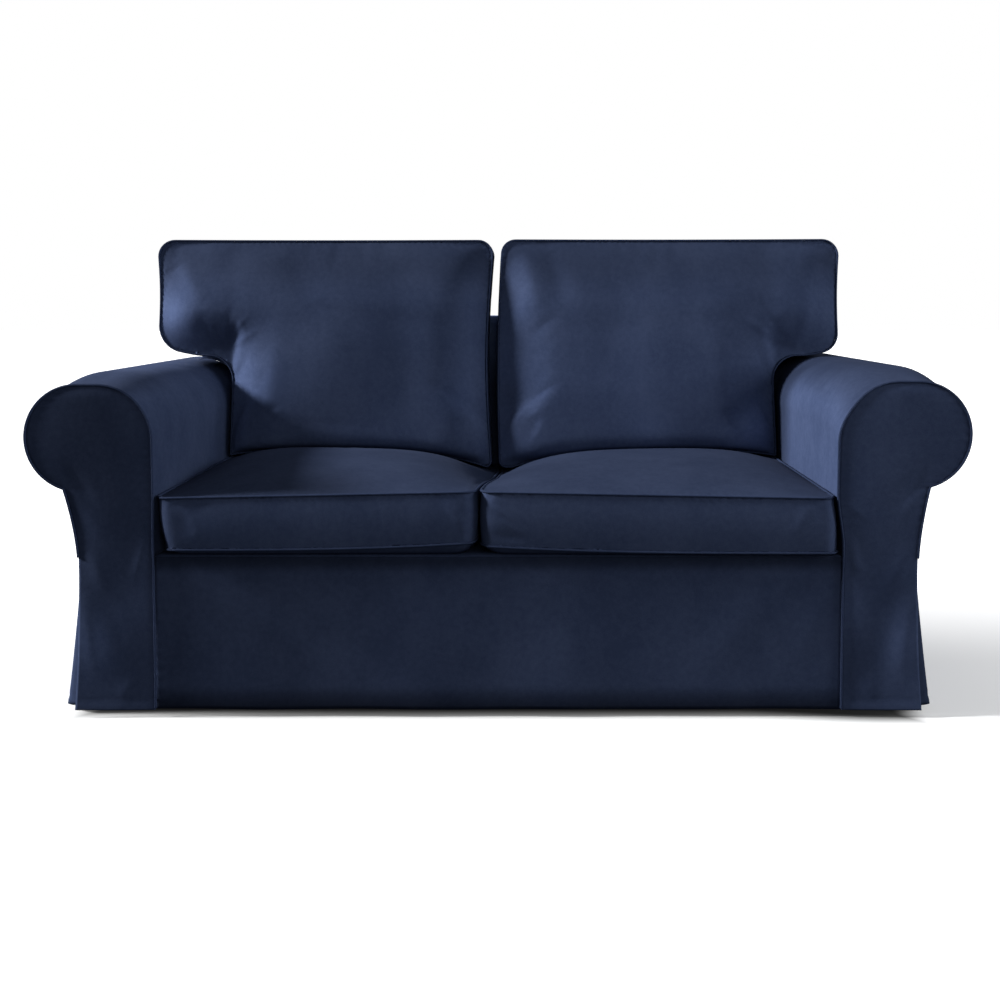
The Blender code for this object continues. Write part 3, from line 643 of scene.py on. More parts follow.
def velvet_group():
    """Pile, brushed patches and faint crush marks of a short-pile velvet, its colour scaled by the
    painted light and shade it is given.
    """
    group, given, left = new_group(
        "velvet_pile_and_painted_light",
        (
            ("Place", "Vector", None),
            ("Dark", "Color", (0.03, 0.04, 0.09, 1)),
            ("Brushed", "Color", (0.05, 0.07, 0.14, 1)),
            ("Painted Light", "Float", 0.0),
            ("Patch Scale", "Float", 7.0),
            ("Pile Scale", "Float", 420.0),
        ),
        (("Colour", "Color"), ("Roughness", "Float"), ("Height", "Float")),
    )

    def noise(scale, detail, stretch=(1, 1, 1)):
        spread = new_node(group, "Mapping", {"Vector": given["Place"], "Scale": stretch})["Vector"]
        return new_node(group, "TexNoise", {"Vector": spread, "Scale": scale, "Detail": detail})["Fac"]

    patches = noise(given["Patch Scale"], detail=3.0)
    streaks = noise(STREAK_SCALE, detail=2.0, stretch=STREAK_STRETCH)
    crush = noise(CRUSH_SCALE, detail=3.0)
    pile = noise(given["Pile Scale"], detail=2.0)
    brushed = maths(group, "MULTIPLY_ADD", patches, *BRUSHED_SPREAD)
    for marks, strength in ((streaks, STREAK_MARKS), (pile, PILE_MARKS), (crush, CRUSH_MARKS)):
        centred = maths(group, "MULTIPLY_ADD", marks, strength, -strength / 2)
        brushed = maths(group, "ADD", brushed, centred)
    share = new_node(group, "Clamp", {"Value": brushed})["Result"]
    colours = {"Factor": share, "A": given["Dark"], "B": given["Brushed"]}
    colour = new_node(group, "Mix", colours, data_type="RGBA")["Result"]
    # Painted light and shade: the colour is made brighter or darker by the amount recorded on the piece
    raised = maths(group, "POWER", PAINTED_LIGHT_SPAN, given["Painted Light"])
    shaded = new_node(group, "VectorMath", {0: colour, "Scale": raised}, operation="SCALE")["Vector"]
    group.links.new(shaded, left["Colour"])
    group.links.new(maths(group, "MULTIPLY_ADD", patches, *ROUGHNESS_SPREAD), left["Roughness"])
    height = maths(
        group,
        "ADD",
        maths(group, "MULTIPLY", pile, 1 - CRUSH_SHARE),
        maths(group, "MULTIPLY", crush, CRUSH_SHARE),
    )
    group.links.new(height, left["Height"])
    return group


def make_velvet(name, group):
    dark, brushed, sheen = VELVETS[name]
    material, tree, shader = new_material(name)
    # The group is given the painted light and shade recorded on each piece as an attribute
    pile = new_node(tree, "Group", {
        "Place": new_node(tree, "TexCoord", {})["Object"],
        "Painted Light": new_node(tree, "Attribute", {}, attribute_name="painted_light")["Fac"],
        "Dark": dark,
        "Brushed": brushed,
    }, node_tree=group)
    relief = {"Height": pile["Height"], "Strength": PILE_STRENGTH, "Distance": PILE_HEIGHT}
    tree.links.new(pile["Colour"], shader["Base Color"])
    tree.links.new(pile["Roughness"], shader["Roughness"])
    tree.links.new(new_node(tree, "Bump", relief)["Normal"], shader["Normal"])
    shader["Sheen Weight"].default_value = sheen
    shader["Sheen Roughness"].default_value = SHEEN_ROUGHNESS
    shader["Sheen Tint"].default_value = SHEEN_TINT
    shader["Specular IOR Level"].default_value = SPECULAR
    return material


VELVET_AND_PAINTED_LIGHT = velvet_group()
FINISHES = {name: make_velvet(name, VELVET_AND_PAINTED_LIGHT) for name in VELVETS}


# ---------------------------------------------------------------- pieces of cloth and piping

def chosen(table, node):
    """The value of the first entry whose name begins the node's."""
    return next((value for name, value in table.items() if node.startswith(name)), 0.0)


def paint_light_and_shade(mesh, node, patches=None):
    """Record the painted light and shade at every spot: by how it faces the light, and from
    patches(point) on top.
    """
    up, left = chosen(PAINTED_LIGHT_UP, node), chosen(PAINTED_LIGHT_LEFT, node)
    values = []
    for vertex, normal in zip(mesh.vertices, mesh.vertex_normals):
        facing = normal.vector
        # Painted light or shade on what faces up and on what turns to the window on the left
        value = up * smooth(facing.z, *FACING_UP) + left * smooth(-facing.x, *FACING_LEFT)
        if patches:
            value += patches(vertex.co)
        values.append(value)
    mesh.attributes.new("painted_light", "FLOAT", "POINT").data.foreach_set("value", values)


def finish_piece(piece, node, slot, patches=None):
    """Name a piece for the node it stands for, record its painted light and shade and give it its
    finish.
    """
    piece.name = f"{node}_velvet"
    piece.data.name = piece.name
    paint_light_and_shade(piece.data, node, patches)
    piece.data.materials.clear()
    piece.data.materials.append(FINISHES[slot])
    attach(piece, "root")
    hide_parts(node)
    return piece


def drape(node, grid, place, relief=None, flip=False, patches=None):
    """A sheet laid out by place(across, up), with its creases raised by relief(point, across, up)."""
    columns, rows = grid
    bpy.ops.object.select_all(action="DESELECT")
    bpy.ops.mesh.primitive_grid_add(x_subdivisions=columns, y_subdivisions=rows, size=2.0)
    sheet = bpy.context.object
    mesh = sheet.data
    shares = [((vertex.co.x + 1) / 2, (vertex.co.y + 1) / 2) for vertex in mesh.vertices]
    for vertex, (across, up) in zip(mesh.vertices, shares):
        vertex.co = place(across, up)
    if flip:
        mesh.flip_normals()
    mesh.update()
    if relief:
        outwards = [normal.vector.copy() for normal in mesh.vertex_normals]
        for vertex, outward, (across, up) in zip(mesh.vertices, outwards, shares):
            vertex.co += outward * relief(vertex.co, across, up)
    thickness = sheet.modifiers.new("cloth", "SOLIDIFY")
    thickness.thickness = CLOTH
    thickness.offset = -1.0
    apply_modifiers(sheet)
    mesh.shade_smooth()
    finish_piece(sheet, node, "cover_velvet", patches)
    return sheet


def add_piping(node, points, closed):
    """Round piping along a line of points."""
    curve = bpy.data.curves.new(node, "CURVE")
    curve.dimensions = "3D"
    curve.twist_mode = "MINIMUM"
    curve.bevel_depth = PIPING_RADIUS
    curve.bevel_resolution = PIPING_SIDES
    curve.use_fill_caps = not closed
    spline = curve.splines.new("POLY")
    spline.points.add(len(points) - 1)
    for spot, point in zip(spline.points, points):
        spot.co = (*point, 1.0)
    spline.use_cyclic_u = closed
    select_only(place_in_scene(node, curve))
    bpy.ops.object.convert(target="MESH")
    piping = bpy.context.object
    piping.data.shade_smooth()
    return finish_piece(piping, node, "piping_velvet")


def add_seam_piping(node, outline, place):
    """Piping just outside a closed seam, with place(point, out) beside each point of its outline."""
    line = []
    for point, normal in zip(outline, corner_normals(outline)):
        line.append(place(point, point + normal * PIPING_OUT))
    add_piping(node, line, closed=True)


# ---------------------------------------------------------------- creases and puckers

def ripple(run, pitch, phase):
    """An uneven ripple along a seam, between -1 and 1."""
    amount, slower = WANDER
    wander = amount * math.sin(run / (slower * pitch) + WANDER_SHIFT * phase)
    amount, slower = FADE
    fade = 1 - amount + amount * math.sin(run / (slower * pitch) + phase)
    return math.sin(2 * math.pi * run / pitch + wander + phase) * fade


def pucker(distance, run, depth, phase, reach=GATHER_REACH, pitch=GATHER_PITCH):
    """Small gathers that stand along a seam and die away from it."""
    return depth * hump(distance, 0.0, reach) * ripple(run, pitch, phase)


def gathers(seam, distance, run, share=1.0, shift=0.0):
    """The gathers of a panel's seam, at a share of their depth and shifted along the ripple."""
    depth, phase = GATHERS[seam]
    return pucker(distance, run, depth * share, phase + shift)


def creased(across, up, creases):
    """The height at a spot of soft ridges, or troughs where height is negative."""
    total = 0.0
    spot = Vector((across, up))
    for crease in creases:
        start, end = Vector(crease.start), Vector(crease.end)
        run = end - start
        share = max(0.0, min(1.0, (spot - start).dot(run) / run.length_squared))
        away = (spot - start - run * share).length
        fade = math.sin(math.pi * lerp(CREASE_ENDS, 1 - CREASE_ENDS, share))
        total += crease.height * fade * hump(away, 0.0, crease.width)
    return total


def hem_stitch(height):
    """The hem is turned up double below a line of stitches."""
    turned = HEM_TURN * (1 - smooth(height, HEM_LINE - HEM_STEP, HEM_LINE))
    return turned - STITCH_DEPTH * hump(height, HEM_LINE, STITCH_WIDTH)


def folds(place, height, table):
    """How far soft folds stand out from a skirt at one place and height."""
    hang = 1 - smooth(height, 0.0, SKIRT_TOP)
    return hang * sum(depth * hump(place, at, width) for at, width, depth in table)


def hem_flare(height):
    return HEM_FLARE * max(0.0, 1 - height / SKIRT_TOP) ** 2


def hem_height(place):
    turn, start = HEM_WAVE
    return HEM_RISE * (1 - math.cos(turn * place + start)) / 2


def skirt_height(share, place, top):
    return lerp(hem_height(place), top, share)


# ---------------------------------------------------------------- arms

def swell(y):
    return smooth(y, FRONT_Y, FRONT_Y + SWELL_RUN_FRONT) * smooth(-y, -REAR_Y, SWELL_RUN_REAR - REAR_Y)


def roll_radius(arm, angle, y):
    top = max(0.0, math.sin(angle))
    return ROLL_RADIUS + swell(y) * lerp(SWELL_SIDE, arm.swell_top, top)


def arm_inside_x(y):
    return SEAT_HALF - swell(y) * SWELL_SIDE


def joint_angle(arm):
    return -math.acos((arm.joint_x - ROLL_OUTER_X) / ROLL_RADIUS)


def joint_z(arm):
    return arm.roll_z + ROLL_RADIUS * math.sin(joint_angle(arm))


def roll_spot(arm, centre_x, angle):
    """A spot on the roll's plain end: x, z."""
    return Vector((
        centre_x + ROLL_RADIUS * math.cos(angle),
        arm.roll_z + ROLL_RADIUS * math.sin(angle),
    ))


def side_half(arm, edge, height):
    """Half width of the cover's side edge at a height, from the hem to the joint under the roll."""
    if height <= SKIRT_TOP:
        flare, fall = SKIRT_FLARE[edge]
        return SKIRT_NARROW + flare * (1 - height / SKIRT_TOP) ** fall
    share = (height - SKIRT_TOP) / (joint_z(arm) - SKIRT_TOP)
    return SKIRT_NARROW + (arm.joint_x - SKIRT_NARROW) * min(1.0, share) ** NECK_CURVE


def front_lean(arm, height):
    """How far the inner edge of an arm front leans over the seat, above the cushion's foot."""
    return arm.lean * smooth(height, *LEAN_FROM) * (1 - smooth(height, *LEAN_TO))


def front_edge_pair(arm, up):
    """The arm front's inner and outer edge points at a share of its height."""
    neck = joint_z(arm)
    straight = arm.roll_z - neck
    length = straight + ROLL_RADIUS * math.pi / 2
    neck_share = neck / (neck + length)
    if up <= neck_share:
        height = neck * up / neck_share
        inner = Vector((SEAT_HALF - front_lean(arm, height), height))
        return inner, Vector((side_half(arm, "front", height), height))
    share = (up - neck_share) / (1 - neck_share)
    gone = length * share
    if gone < straight:
        inner = Vector((SEAT_HALF, neck + gone))
    else:
        inner = roll_spot(arm, ROLL_INNER_X, math.pi - (gone - straight) / ROLL_RADIUS)
    inner.x -= front_lean(arm, inner.y)
    return inner, roll_spot(arm, ROLL_OUTER_X, lerp(joint_angle(arm), math.pi / 2, share))


def add_arm_front(arm):
    def place(across, up):
        inner, outer = front_edge_pair(arm, up)
        x, z = inner.lerp(outer, across)
        if up < HEM_SHARE:
            z = lerp(hem_height(x), z, up / HEM_SHARE)
        full, end = PUFF_SHARES
        belly = smooth(up, 0.0, full) * (1 - smooth(up, end, 1.0))
        puff = FRONT_PUFF * math.sin(math.pi * across) * belly
        return Vector((arm.side * x, FRONT_Y - puff - hem_flare(z) * (1 + FREE_EDGE_FLARE * across), z))

    def relief(point, across, up):
        inner, outer = front_edge_pair(arm, up)
        width = (outer - inner).length
        height = point.z
        run = up * ARM_FRONT_RUN
        inner_share = smooth(height, *INNER_GATHERS_Z)
        outer_share = smooth(height, *OUTER_GATHERS_Z)
        raised = gathers("arm_front_inner", (1 - across) * width, run, inner_share, arm.side)
        raised += gathers("arm_front_outer", across * width, run, outer_share)
        drop, reach = ARM_FRONT_TOP
        raised += gathers("arm_front_top", (1 - up) * drop, (across + up) * reach)
        raised += creased(abs(point.x), height, ARM_FRONT_CREASES)
        return raised + hem_stitch(height)

    # Painted light and shade on the arm front
    def patches(point):
        return painted_patches(point.x, point.z, ARM_FRONT_PAINTED_LIGHT[arm.label], tall=2)

    grid = GRIDS["arm_front"]
    sheet = drape(f"arm_front_{arm.label}", grid, place, relief, arm.side < 0, patches)


def arm_station(arm, up):
    """A stop at a share of the way round the arm: its part, and its share or angle there."""
    wall = arm.roll_z - DECK_Z
    quarter = ROLL_RADIUS * math.pi / 2
    sweep = math.pi / 2 - (joint_angle(arm) - ROLL_END_PAST_JOINT)
    total = wall + quarter + (ROLL_OUTER_X - ROLL_INNER_X) + ROLL_RADIUS * sweep
    gone = up * total
    if gone < wall:
        return "wall", gone / wall
    gone -= wall
    if gone <= quarter:
        return "inner", math.pi - gone / ROLL_RADIUS
    gone -= quarter
    flat = ROLL_OUTER_X - ROLL_INNER_X
    if gone < flat:
        return "flat", gone / flat
    return "outer", math.pi / 2 - (gone - flat) / ROLL_RADIUS


def arm_point(arm, station, y):
    """Where the outer face of the arm's cloth is at a stop round the arm: x, z."""
    kind, value = station
    if kind == "wall":
        return arm_inside_x(y), lerp(DECK_Z - CLOTH, arm.roll_z, value)
    if kind == "flat":
        return lerp(ROLL_INNER_X, ROLL_OUTER_X, value), arm.roll_z + roll_radius(arm, math.pi / 2, y)
    centre = ROLL_INNER_X if kind == "inner" else ROLL_OUTER_X
    radius = roll_radius(arm, value, y)
    return centre + radius * math.cos(value), arm.roll_z + radius * math.sin(value)


def back_round_centre():
    z = BACK_TOP - BACK_ROUND
    tangent_z = z + BACK_ROUND * math.sin(BACK_LEAN)
    tangent_y = BACK_FOOT_Y + math.tan(BACK_LEAN) * (tangent_z - DECK_Z)
    return tangent_y + BACK_ROUND * math.cos(BACK_LEAN), z


def back_face_y(z, inset=0.0):
    """Depth of the face of the back at a height, or of a face set in behind it."""
    centre_y, centre_z = back_round_centre()
    if z > centre_z + BACK_ROUND * math.sin(BACK_LEAN):
        radius = BACK_ROUND - inset
        return centre_y - math.sqrt(max(0.0, radius ** 2 - (z - centre_z) ** 2))
    return BACK_FOOT_Y + math.tan(BACK_LEAN) * (z - DECK_Z) + inset / math.cos(BACK_LEAN)


def add_arm_inner(arm):
    front = FRONT_Y + CLOTH + GAP
    rear = REAR_Y - CLOTH - GAP

    def place(along, up):
        station = arm_station(arm, up)
        end = rear
        if station[0] == "wall" or (station[0] == "inner" and station[1] > ROLL_CREST):
            end = back_face_y(arm_point(arm, station, BACK_FOOT_Y)[1]) + CLOTH
        y = lerp(front, end, along)
        x, z = arm_point(arm, station, y)
        if station[0] in ("wall", "inner"):
            x -= front_lean(arm, z) * (1 - smooth(y, FRONT_Y, FRONT_Y + LEAN_RUN))
        return Vector((arm.side * x, y, z))

    def relief(point, along, up):
        run = up * ARM_WRAP
        raised = gathers("arm_inner_front", along * (rear - front), run, shift=arm.side)
        return raised + creased(point.y, run, ARM_INNER_CREASES)

    # Painted shade beside the back cushion, painted light deep in the corner behind it, and painted
    # light or shade on the roll's top near the front
    def patches(point):
        inside = 1 - smooth(abs(point.x), ROLL_INNER_X, ROLL_OUTER_X)
        wall = inside * (1 - smooth(point.z, *ARM_WALL_TOP_Z))
        behind = smooth(point.y, *ARM_CORNER_Y)
        beside = smooth(point.y, *ARM_BESIDE_Y) - behind
        front_top = (1 - smooth(point.y, *ARM_TOP_Y)) * smooth(point.z, *ARM_TOP_Z)
        painted_light = ARM_INNER_SHADE[arm.label] * beside + ARM_CORNER_GLOW * behind
        return painted_light * wall + ARM_TOP_SHADE[arm.label] * front_top

    grid = GRIDS["arm_inner"]
    sheet = drape(f"arm_inner_{arm.label}", grid, place, relief, arm.side > 0, patches)


def add_arm_outer(arm):
    rear = REAR_Y - CLOTH - GAP
    neck = joint_z(arm)

    def place(along, up):
        height = neck * up
        front = FRONT_Y + CLOTH + GAP + SIDE_EDGE_BACK * (1 - smooth(height, 0.0, SKIRT_TOP))
        y = lerp(front, rear, along ** SIDE_EDGE_FINER)
        x = lerp(side_half(arm, "side", height), side_half(arm, "rear", height), along)
        x += folds(y, height, SIDE_FOLDS) * math.sin(math.pi * along)
        open_by = side_half(arm, "side", height) - side_half(arm, "front", height)
        x -= (open_by * SIDE_TUCK) * (1 - smooth(y, front, front + SIDE_TURN)) ** 2
        radius = roll_radius(arm, joint_angle(arm), y) + GAP
        top = arm.roll_z - math.sqrt(radius ** 2 - (arm.joint_x - CLOTH - ROLL_OUTER_X) ** 2)
        return Vector((arm.side * x, y, skirt_height(up, y, top)))

    def relief(point, along, up):
        raised = gathers("arm_outer_top", (1 - up) * neck, point.y, shift=1.1 * arm.side)
        raised += gathers("arm_outer_rear", (1 - along) * ARM_OUTER_DEPTH, point.z)
        raised += creased(point.y, point.z, ARM_OUTER_CREASES)
        return raised + hem_stitch(point.z)

    # Painted shade on the front edge beside the slit
    def patches(point):
        return ARM_OUTER_SHADE[arm.label] * (1 - smooth(point.y, *ARM_OUTER_Y))

    grid = GRIDS["arm_outer"]
    sheet = drape(f"arm_outer_{arm.label}", grid, place, relief, arm.side < 0, patches)


def add_arm_piping(arm):
    """Piping round an arm front, from the inner hem over the roll and down to the slit."""
    shares = [step / ARM_PIPING_STEPS for step in range(ARM_PIPING_STEPS + 1)]
    line = [front_edge_pair(arm, share)[0] for share in shares]
    line[0].y = HEM_RISE + PIPING_RADIUS
    crest = line[-1].y
    line += [Vector((lerp(ROLL_INNER_X, ROLL_OUTER_X, share), crest)) for share in ROLL_TOP_STOPS]
    down = [front_edge_pair(arm, 1 - share)[1] for share in shares]
    line += [point for point in down if point.y >= SKIRT_TOP]
    points = []
    for point, normal in zip(line, corner_normals(line, closed=False)):
        x, z = point - normal * PIPING_OUT
        points.append((arm.side * x, FRONT_Y - hem_flare(point.y) - PIPING_OUT, z))
    add_piping(f"piping_arm_{arm.label}", points, closed=False)


# ---------------------------------------------------------------- outlines

def rounded_outline(corners):
    """Points round a closed anticlockwise outline of rounded corners and drawn-in sides."""
    arcs = []
    for index, (across, up, radius, _) in enumerate(corners):
        here = Vector((across, up))
        arriving = (here - Vector(corners[index - 1][:2])).normalized()
        leaving = (Vector(corners[(index + 1) % len(corners)][:2]) - here).normalized()
        turn = math.atan2(arriving.cross(leaving), arriving.dot(leaving))
        start = here - arriving * radius * math.tan(abs(turn) / 2)
        spoke = Vector((arriving.y, -arriving.x)) * math.copysign(radius, turn)
        centre = start - spoke
        arc = []
        for step in range(ARC_STEPS + 1):
            angle = turn * step / ARC_STEPS
            arc.append(centre + Vector((
                spoke.x * math.cos(angle) - spoke.y * math.sin(angle),
                spoke.x * math.sin(angle) + spoke.y * math.cos(angle),
            )))
        arcs.append(arc)
    points = []
    for index, arc in enumerate(arcs):
        points.extend(arc)
        start, end = arc[-1], arcs[(index + 1) % len(arcs)][0]
        run = end - start
        inwards = Vector((-run.y, run.x)).normalized() * corners[index][3]
        steps = max(1, round(run.length / SIDE_SPACING))
        for step in range(1, steps):
            share = step / steps
            points.append(start + run * share + inwards * math.sin(math.pi * share))
    return points


def corner_normals(points, closed=True):
    """The outward direction at each point of an anticlockwise line."""
    count = len(points)
    normals = []
    for index, point in enumerate(points):
        before = points[index - 1] if closed or index else point
        after = points[(index + 1) % count] if closed or index < count - 1 else point
        run = (after - before).normalized()
        normals.append(Vector((run.y, -run.x)))
    return normals


# ---------------------------------------------------------------- front, deck and back


def add_front_panel():
    half = SEAT_HALF - GAP

    def place(across, up):
        x = lerp(-half, half, across)
        z = skirt_height(up, x, DECK_Z)
        hang = folds(x, z, FRONT_FOLDS) * math.sin(math.pi * across)
        return Vector((x, PANEL_Y - hem_flare(z) - hang, z))

    def relief(point, across, up):
        raised = gathers("front_left_end", across * 2 * half, point.z)
        raised += gathers("front_right_end", (1 - across) * 2 * half, point.z)
        raised += creased(point.x, point.z, FRONT_CREASES)
        return raised + hem_stitch(point.z)

    # Painted shade under the seat, at the hem and towards the left end
    def patches(point):
        under_seat = UNDER_SEAT_SHADE * smooth(point.z, *UNDER_SEAT_Z)
        at_hem = HEM_SHADE * (1 - smooth(point.z, *HEM_SHADE_Z))
        return under_seat + at_hem + LEFT_END_SHADE * (1 - smooth(point.x, *LEFT_END_X))

    sheet = drape("front_panel", GRIDS["front_panel"], place, relief, patches=patches)


def add_seat_deck():
    front = PANEL_Y + CLOTH + GAP
    rear = BACK_FOOT_Y - GAP

    def place(across, up):
        y = lerp(front, rear, up)
        half = arm_inside_x(y) - 2 * SOFT_GAP
        return Vector((lerp(-half, half, across), y, DECK_Z))

    sheet = drape("seat_deck", GRIDS["seat_deck"], place)


def back_rows(arm, steps):
    """Rows of the inside back's edge at one arm, from the deck over the top: half width, y, z."""
    rows = []
    for step in range(steps + 1):
        z = lerp(DECK_Z + GAP, arm.roll_z, step / steps)
        y = back_face_y(z)
        rows.append((arm_inside_x(y) - SOFT_GAP, y, z))
    for step in range(1, steps + 1):
        angle = lerp(math.pi, math.pi / 2, step / steps)
        radius = roll_radius(arm, angle, BACK_FOOT_Y) + SOFT_GAP
        z = arm.roll_z + radius * math.sin(angle)
        rows.append((ROLL_INNER_X + radius * math.cos(angle), back_face_y(z), z))
    centre_y, centre_z = back_round_centre()
    for step in range(steps + 1):
        angle = lerp(math.pi - BACK_LEAN, math.pi / 2, step / steps)
        y = centre_y + BACK_ROUND * math.cos(angle)
        rows.append((BACK_HALF, y, centre_z + BACK_ROUND * math.sin(angle)))
    for share in (0.5, 1.0):
        rows.append((BACK_HALF, lerp(centre_y, REAR_Y - CLOTH - GAP, share), BACK_TOP))
    return rows


def edge_to_edge(left_rows, right_rows, row, across):
    """A point between the left and right edges of a back panel."""
    left = Vector((-1, 1, 1)) * Vector(left_rows[row])
    return left.lerp(Vector(right_rows[row]), across)


def add_inside_back():
    left_rows, right_rows = (back_rows(arm, INSIDE_BACK_STEPS) for arm in ARMS)
    rows = len(left_rows) - 1

    def place(across, up):
        return edge_to_edge(left_rows, right_rows, round(up * rows), across)

    def relief(point, across, up):
        away = (1 - up) * INSIDE_BACK_RISE
        return gathers("inside_back_top", away, point.x, smooth(away, 0.0, TOP_STILL))

    # Painted light where the inside back shows between the back cushions
    def patches(point):
        glow, at, width = BACK_GAP_GLOW
        return glow * hump(point.x, at, width) * smooth(point.z, *BACK_GAP_Z)

    grid = (INSIDE_BACK_COLUMNS, rows)
    sheet = drape("inside_back", grid, place, relief, patches=patches)


def arm_top_z(arm, y):
    return arm.roll_z + roll_radius(arm, math.pi / 2, y)


def add_back_side(arm):
    inset = CLOTH + GAP
    top = BACK_TOP - inset
    rear = REAR_Y - inset

    def place(along, up):
        foot = arm_top_z(arm, BACK_FOOT_Y) + SOFT_GAP
        y = lerp(back_face_y(lerp(foot, top, up), inset + GAP), rear, along)
        return Vector((arm.side * BACK_HALF, y, lerp(arm_top_z(arm, y) + SOFT_GAP, top, up)))

    def relief(point, along, up):
        return gathers("back_side_foot", (1 - up) * BACK_SIDE_RISE, point.y)

    sheet = drape(f"back_side_{arm.label}", GRIDS["back_side"], place, relief, arm.side < 0)


def rear_rows(arm):
    """Rows of the outside back's edge at one arm, from the hem to the top: half width, y, z."""
    neck = joint_z(arm)
    rows = []
    skirt_rows, roll_rows, top_rows = REAR_ROWS
    for step in range(skirt_rows + 1):
        height = neck * step / skirt_rows
        rows.append((side_half(arm, "rear", height), REAR_Y, height))
    for step in range(1, roll_rows + 1):
        angle = lerp(joint_angle(arm), ROLL_END_TOP, step / roll_rows)
        half, z = roll_spot(arm, ROLL_OUTER_X, angle)
        rows.append((half, REAR_Y, z))
    arm_top = arm.roll_z + ROLL_RADIUS
    rows.append((BACK_HALF + SOFT_GAP, REAR_Y, arm_top))
    for step in range(1, top_rows + 1):
        rows.append((BACK_HALF, REAR_Y, lerp(arm_top, BACK_TOP, step / top_rows)))
    return rows


def add_outside_back():
    left_rows, right_rows = (rear_rows(arm) for arm in ARMS)
    rows = len(left_rows) - 1

    def place(across, up):
        row = round(up * rows)
        point = edge_to_edge(left_rows, right_rows, row, across)
        if row == 0:
            point.z = hem_height(point.x)
        hang = hem_flare(point.z) + folds(point.x, point.z, REAR_FOLDS)
        point.y += hang * math.sin(math.pi * across)
        return point

    def relief(point, across, up):
        raised = gathers("outside_back_top", BACK_TOP - point.z, point.x)
        inwards = min(across, 1 - across) * OUTSIDE_BACK_WIDTH
        raised += gathers("outside_back_sides", inwards, point.z)
        raised += creased(point.x, point.z, REAR_CREASES)
        return raised + hem_stitch(point.z)

    sheet = drape("outside_back", (OUTSIDE_BACK_COLUMNS, rows), place, relief, flip=True)


# ---------------------------------------------------------------- cushions

def ring_ball(name, segments, rings, place):
    """A closed ball whose rings are laid out by place(ring, segment)."""
    bpy.ops.object.select_all(action="DESELECT")
    bpy.ops.mesh.primitive_uv_sphere_add(segments=segments, ring_count=rings, radius=1.0)
    ball = bpy.context.object
    ball.name = name
    for vertex in ball.data.vertices:
        ring = round(math.acos(max(-1.0, min(1.0, vertex.co.z))) / math.pi * rings)
        turn = math.atan2(vertex.co.y, vertex.co.x) / (2 * math.pi) * segments
        vertex.co = place(ring, round(turn) % segments)
    return ball


def nearest_on(line, tree, spot):
    """The nearest place to a spot on a closed line of points."""
    _, index, _ = tree.find(spot)
    best, best_away = None, math.inf
    for start, end in ((index - 1, index), (index, (index + 1) % len(line))):
        run = line[end] - line[start]
        share = max(0.0, min(1.0, (spot - line[start]).dot(run) / max(NO_RUN, run.length_squared)))
        point = line[start] + run * share
        away = (spot - point).length
        if away < best_away:
            best, best_away = point, away
    return best, best_away


def tree_of(line):
    tree = KDTree(len(line))
    for index, point in enumerate(line):
        tree.insert(point, index)
    tree.balance()
    return tree


def snap(vertex, seams, trees, reach):
    """Move a vertex onto the first seam that lies within reach, and say whether one does."""
    for line, tree in zip(seams, trees):
        point, away = nearest_on(line, tree, vertex.co)
        if away < reach:
            vertex.co = point
            return True
    return False


def swell_cloth(cushion, pinned, cap, filling):
    """Swell a case by simulation, where no place moves further than cap(place)."""
    extra, pressure = filling
    start = [vertex.co.copy() for vertex in cushion.data.vertices]
    group = cushion.vertex_groups.new(name=FILLING["vertex_group_mass"])
    group.add(pinned, 1.0, "REPLACE")
    cloth = cushion.modifiers.new("filling", "CLOTH")
    for setting, value in FILLING.items():
        setattr(cloth.settings, setting, value)
    cloth.settings.uniform_pressure_force = pressure
    cloth.settings.shrink_min = -extra
    cloth.settings.effector_weights.gravity = 0.0
    cloth.collision_settings.use_collision = False
    cloth.collision_settings.use_self_collision = False
    scene = bpy.context.scene
    for number in range(1, FILLING_FRAMES + 1):
        scene.frame_set(number)
    apply_modifiers(cushion)
    scene.frame_set(1)
    for vertex, place in zip(cushion.data.vertices, start):
        moved = vertex.co - place
        excess = (moved.length / cap(place)) ** GIVE_POWER
        vertex.co = place + moved / (1 + excess) ** (1 / GIVE_POWER)
    cushion.vertex_groups.clear()


def fill(cushion, seams, held, cap, filling):
    """Fill a cushion's case: remesh it evenly, hold its seams and swell the cloth between them.

    held(point) says which places stay, and cap(point) is how far a place may move.
    """
    remesh = cushion.modifiers.new("even", "REMESH")
    remesh.mode = "VOXEL"
    remesh.voxel_size = VOXEL
    apply_modifiers(cushion)
    trees = [tree_of(line) for line in seams]
    pinned = []
    for vertex in cushion.data.vertices:
        if snap(vertex, seams, trees, SNAP) or held(vertex.co):
            pinned.append(vertex.index)
    cushion.data.update()
    swell_cloth(cushion, pinned, cap, filling)
    finer = cushion.modifiers.new("finer", "SUBSURF")
    finer.levels = finer.render_levels = 1
    apply_modifiers(cushion)
    for vertex in cushion.data.vertices:
        snap(vertex, seams, trees, FINAL_SNAP)
    cushion.data.update()
    cushion.data.shade_smooth()


def crease_cushion(cushion, seam, creases, in_front):
    """Raise creases on a cushion's face and small gathers along its seam."""
    mesh = cushion.data
    tree = tree_of(seam)
    outwards = [normal.vector.copy() for normal in mesh.vertex_normals]
    for vertex, outward in zip(mesh.vertices, outwards):
        spot = vertex.co.copy()
        _, away = nearest_on(seam, tree, spot)
        raised = 0.0
        if away >= SEAM_STILL:
            raised = pucker(away, spot.x + spot.z, *CUSHION_GATHERS)
        if in_front(spot):
            raised += creased(spot.x, spot.z, creases) * smooth(away, *CREASES_SET_IN)
        vertex.co = spot + outward * raised
    mesh.update()


# ---------------------------------------------------------------- seat cushions


def seat_joint_x(y):
    return JOINT_FRONT_X + JOINT_TURN * (y - SEAT_FRONT_Y)


